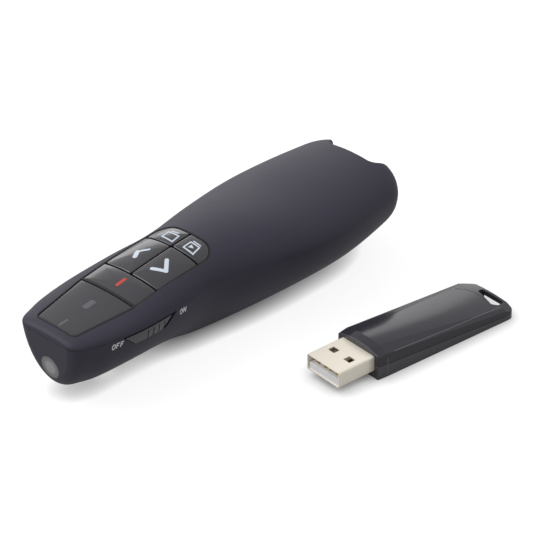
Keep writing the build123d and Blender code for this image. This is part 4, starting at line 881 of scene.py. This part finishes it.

# Painted shade: dark lines along the seams and dark patches in the notches; painted highlights: light lines at
# the collar's edges and along the crease
for side_name, sign, top in (("left", -1, lay_on_receiver_top), ("right", 1, other_top)):
    side = lay_on_receiver(sign)
    seam = [(distance, seam_height(distance)) for distance in (SEAM_START, SEAM_END)]
    receiver_line("receiver_seam_shade_" + side_name, seam, SEAM_WIDTH, side, LINE_SHADE)
    receiver_line("receiver_collar_edge_highlight_" + side_name, COLLAR_EDGE, HIGHLIGHT_WIDTH, side, EDGE_HIGHLIGHT)
    receiver_patch("receiver_notch_shade_" + side_name, rounded_outline(NOTCH), side)
    receiver_line("receiver_crease_highlight_" + side_name, CREASE, CREASE_WIDTH, top, EDGE_HIGHLIGHT)
# Painted highlight: a light line along the collar's lip
receiver_line("receiver_lip_highlight", LIP, HIGHLIGHT_WIDTH, lay_on_receiver_top, EDGE_HIGHLIGHT)
# Painted shade: a dark line along the receiver's sloping end
receiver_line("receiver_end_shade_line", END_LINE, END_LINE_WIDTH, lay_on_receiver_top, LINE_SHADE)
# Painted shade: a dark patch in the collar's front recess
receiver_patch("receiver_front_recess_shade",
               RECESS_ARC + [(-RECESS_HALF_WIDTH, RECESS_FOOT), (RECESS_HALF_WIDTH, RECESS_FOOT)],
               lay_on_receiver_front)

# ---------------------------------------------------------------- floor, lights and camera
FLOOR_HALF_WIDTH = 3.0      # metres
FLOOR_ALBEDO, FLOOR_BOUNCE, FLOOR_GLOW = 0.25, 0.25, 0.85
FLOOR_GLOSS = 0.45          # share of the glow that gloss on the object shows
FLOOR_ROUGHNESS, FLOOR_SPECULAR = 0.9, 0.1
SHADE_REACH, SHADE_SAMPLES = 5.0 * MM, 12
SKY_LIGHT = 0.72

floor_mesh = bpy.data.meshes.new("floor")
floor_mesh.from_pydata([(x * FLOOR_HALF_WIDTH, y * FLOOR_HALF_WIDTH, 0)
                        for x, y in ((-1, -1), (1, -1), (1, 1), (-1, 1))], [], [(0, 1, 2, 3)])
floor = bpy.data.objects.new("floor", floor_mesh)
bpy.context.scene.collection.objects.link(floor)
# The floor glows for the camera and, more weakly, for gloss; ambient occlusion darkens that glow near the
# objects, a painted contact shadow
floor_material, nodes, links, shader = new_material("floor_white")
seen = add_node(nodes, "LightPath")
tint = add_node(nodes, "Mix")
tint.data_type = "RGBA"
tint.inputs[6].default_value = (FLOOR_BOUNCE, FLOOR_BOUNCE, FLOOR_BOUNCE, 1)
tint.inputs[7].default_value = (FLOOR_ALBEDO, FLOOR_ALBEDO, FLOOR_ALBEDO, 1)
rays = add_node(nodes, "Math", {1: FLOOR_GLOSS}, "MULTIPLY_ADD")
links.new(seen.outputs["Is Glossy Ray"], rays.inputs[0])
links.new(seen.outputs["Is Camera Ray"], rays.inputs[2])
links.new(rays.outputs["Value"], tint.inputs["Factor"])
links.new(tint.outputs[2], shader.inputs["Base Color"])
shader.inputs["Roughness"].default_value = FLOOR_ROUGHNESS
shader.inputs["Specular IOR Level"].default_value = FLOOR_SPECULAR
glow = add_node(nodes, "Emission")
shade = add_node(nodes, "AmbientOcclusion", {"Distance": SHADE_REACH})
shade.samples = SHADE_SAMPLES
gain = add_node(nodes, "Math", operation="MULTIPLY")
links.new(rays.outputs["Value"], gain.inputs[0])
links.new(shade.outputs["AO"], gain.inputs[1])
power = add_node(nodes, "Math", {1: FLOOR_GLOW}, "MULTIPLY")
links.new(gain.outputs["Value"], power.inputs[0])
links.new(power.outputs["Value"], glow.inputs["Strength"])
both = add_node(nodes, "AddShader")
links.new(shader.outputs["BSDF"], both.inputs[0])
links.new(glow.outputs["Emission"], both.inputs[1])
links.new(both.outputs["Shader"], nodes["Material Output"].inputs["Surface"])
floor_mesh.materials.append(floor_material)

# The sky lights the object softly, and the camera sees it white
world = bpy.data.worlds.new("studio")
bpy.context.scene.world = world
world.use_nodes = True
nodes, links = world.node_tree.nodes, world.node_tree.links
background = nodes["Background"]
background.inputs["Color"].default_value = (1, 1, 1, 1)
seen = add_node(nodes, "LightPath")
level = add_node(nodes, "MapRange", {"To Min": SKY_LIGHT, "To Max": 1.0})
links.new(seen.outputs["Is Camera Ray"], level.inputs["Value"])
links.new(level.outputs["Result"], background.inputs["Strength"])

# Lamps: place and target in metres, size and power
LAMPS = {
    "key_light": ((0.65, 0.45, 0.75), (0, 0, 0), (0.8, 0.8), 6.0),
    "rim_light": ((0.75, -0.6, 0.3), (0, 0, 0.02), (0.7, 0.35), 1.0),
}
for lamp_name, (place, target, size, watts) in LAMPS.items():
    lamp_data = bpy.data.lights.new(lamp_name, "AREA")
    lamp_data.shape = "RECTANGLE"
    lamp_data.size, lamp_data.size_y = size
    lamp_data.energy = watts
    lamp = bpy.data.objects.new(lamp_name, lamp_data)
    lamp.location = place
    lamp.rotation_euler = (Vector(target) - Vector(place)).to_track_quat("-Z", "Y").to_euler()
    bpy.context.scene.collection.objects.link(lamp)

# Camera: angles round the target, distance and target in metres, focal length in pixels
AZIMUTH, ELEVATION, DISTANCE = radians(223.74), radians(32.12), 0.69433
TARGET = Vector((-0.00103, -0.02277, 0.0))
FOCAL_PIXELS, IMAGE_PIXELS, SENSOR_WIDTH, CLIP_START = 2600.0, 554.0, 36.0, 0.01
back = Vector((sin(AZIMUTH) * cos(ELEVATION), -cos(AZIMUTH) * cos(ELEVATION), sin(ELEVATION)))
camera_data = bpy.data.cameras.new("camera")
camera_data.sensor_width = SENSOR_WIDTH
camera_data.lens = FOCAL_PIXELS / IMAGE_PIXELS * SENSOR_WIDTH
camera_data.clip_start = CLIP_START
camera = bpy.data.objects.new("camera", camera_data)
camera.location = TARGET + back * DISTANCE
camera.rotation_euler = (-back).to_track_quat("-Z", "Y").to_euler()
bpy.context.scene.collection.objects.link(camera)
bpy.context.scene.camera = camera
bpy.context.scene.view_settings.view_transform = "Standard"
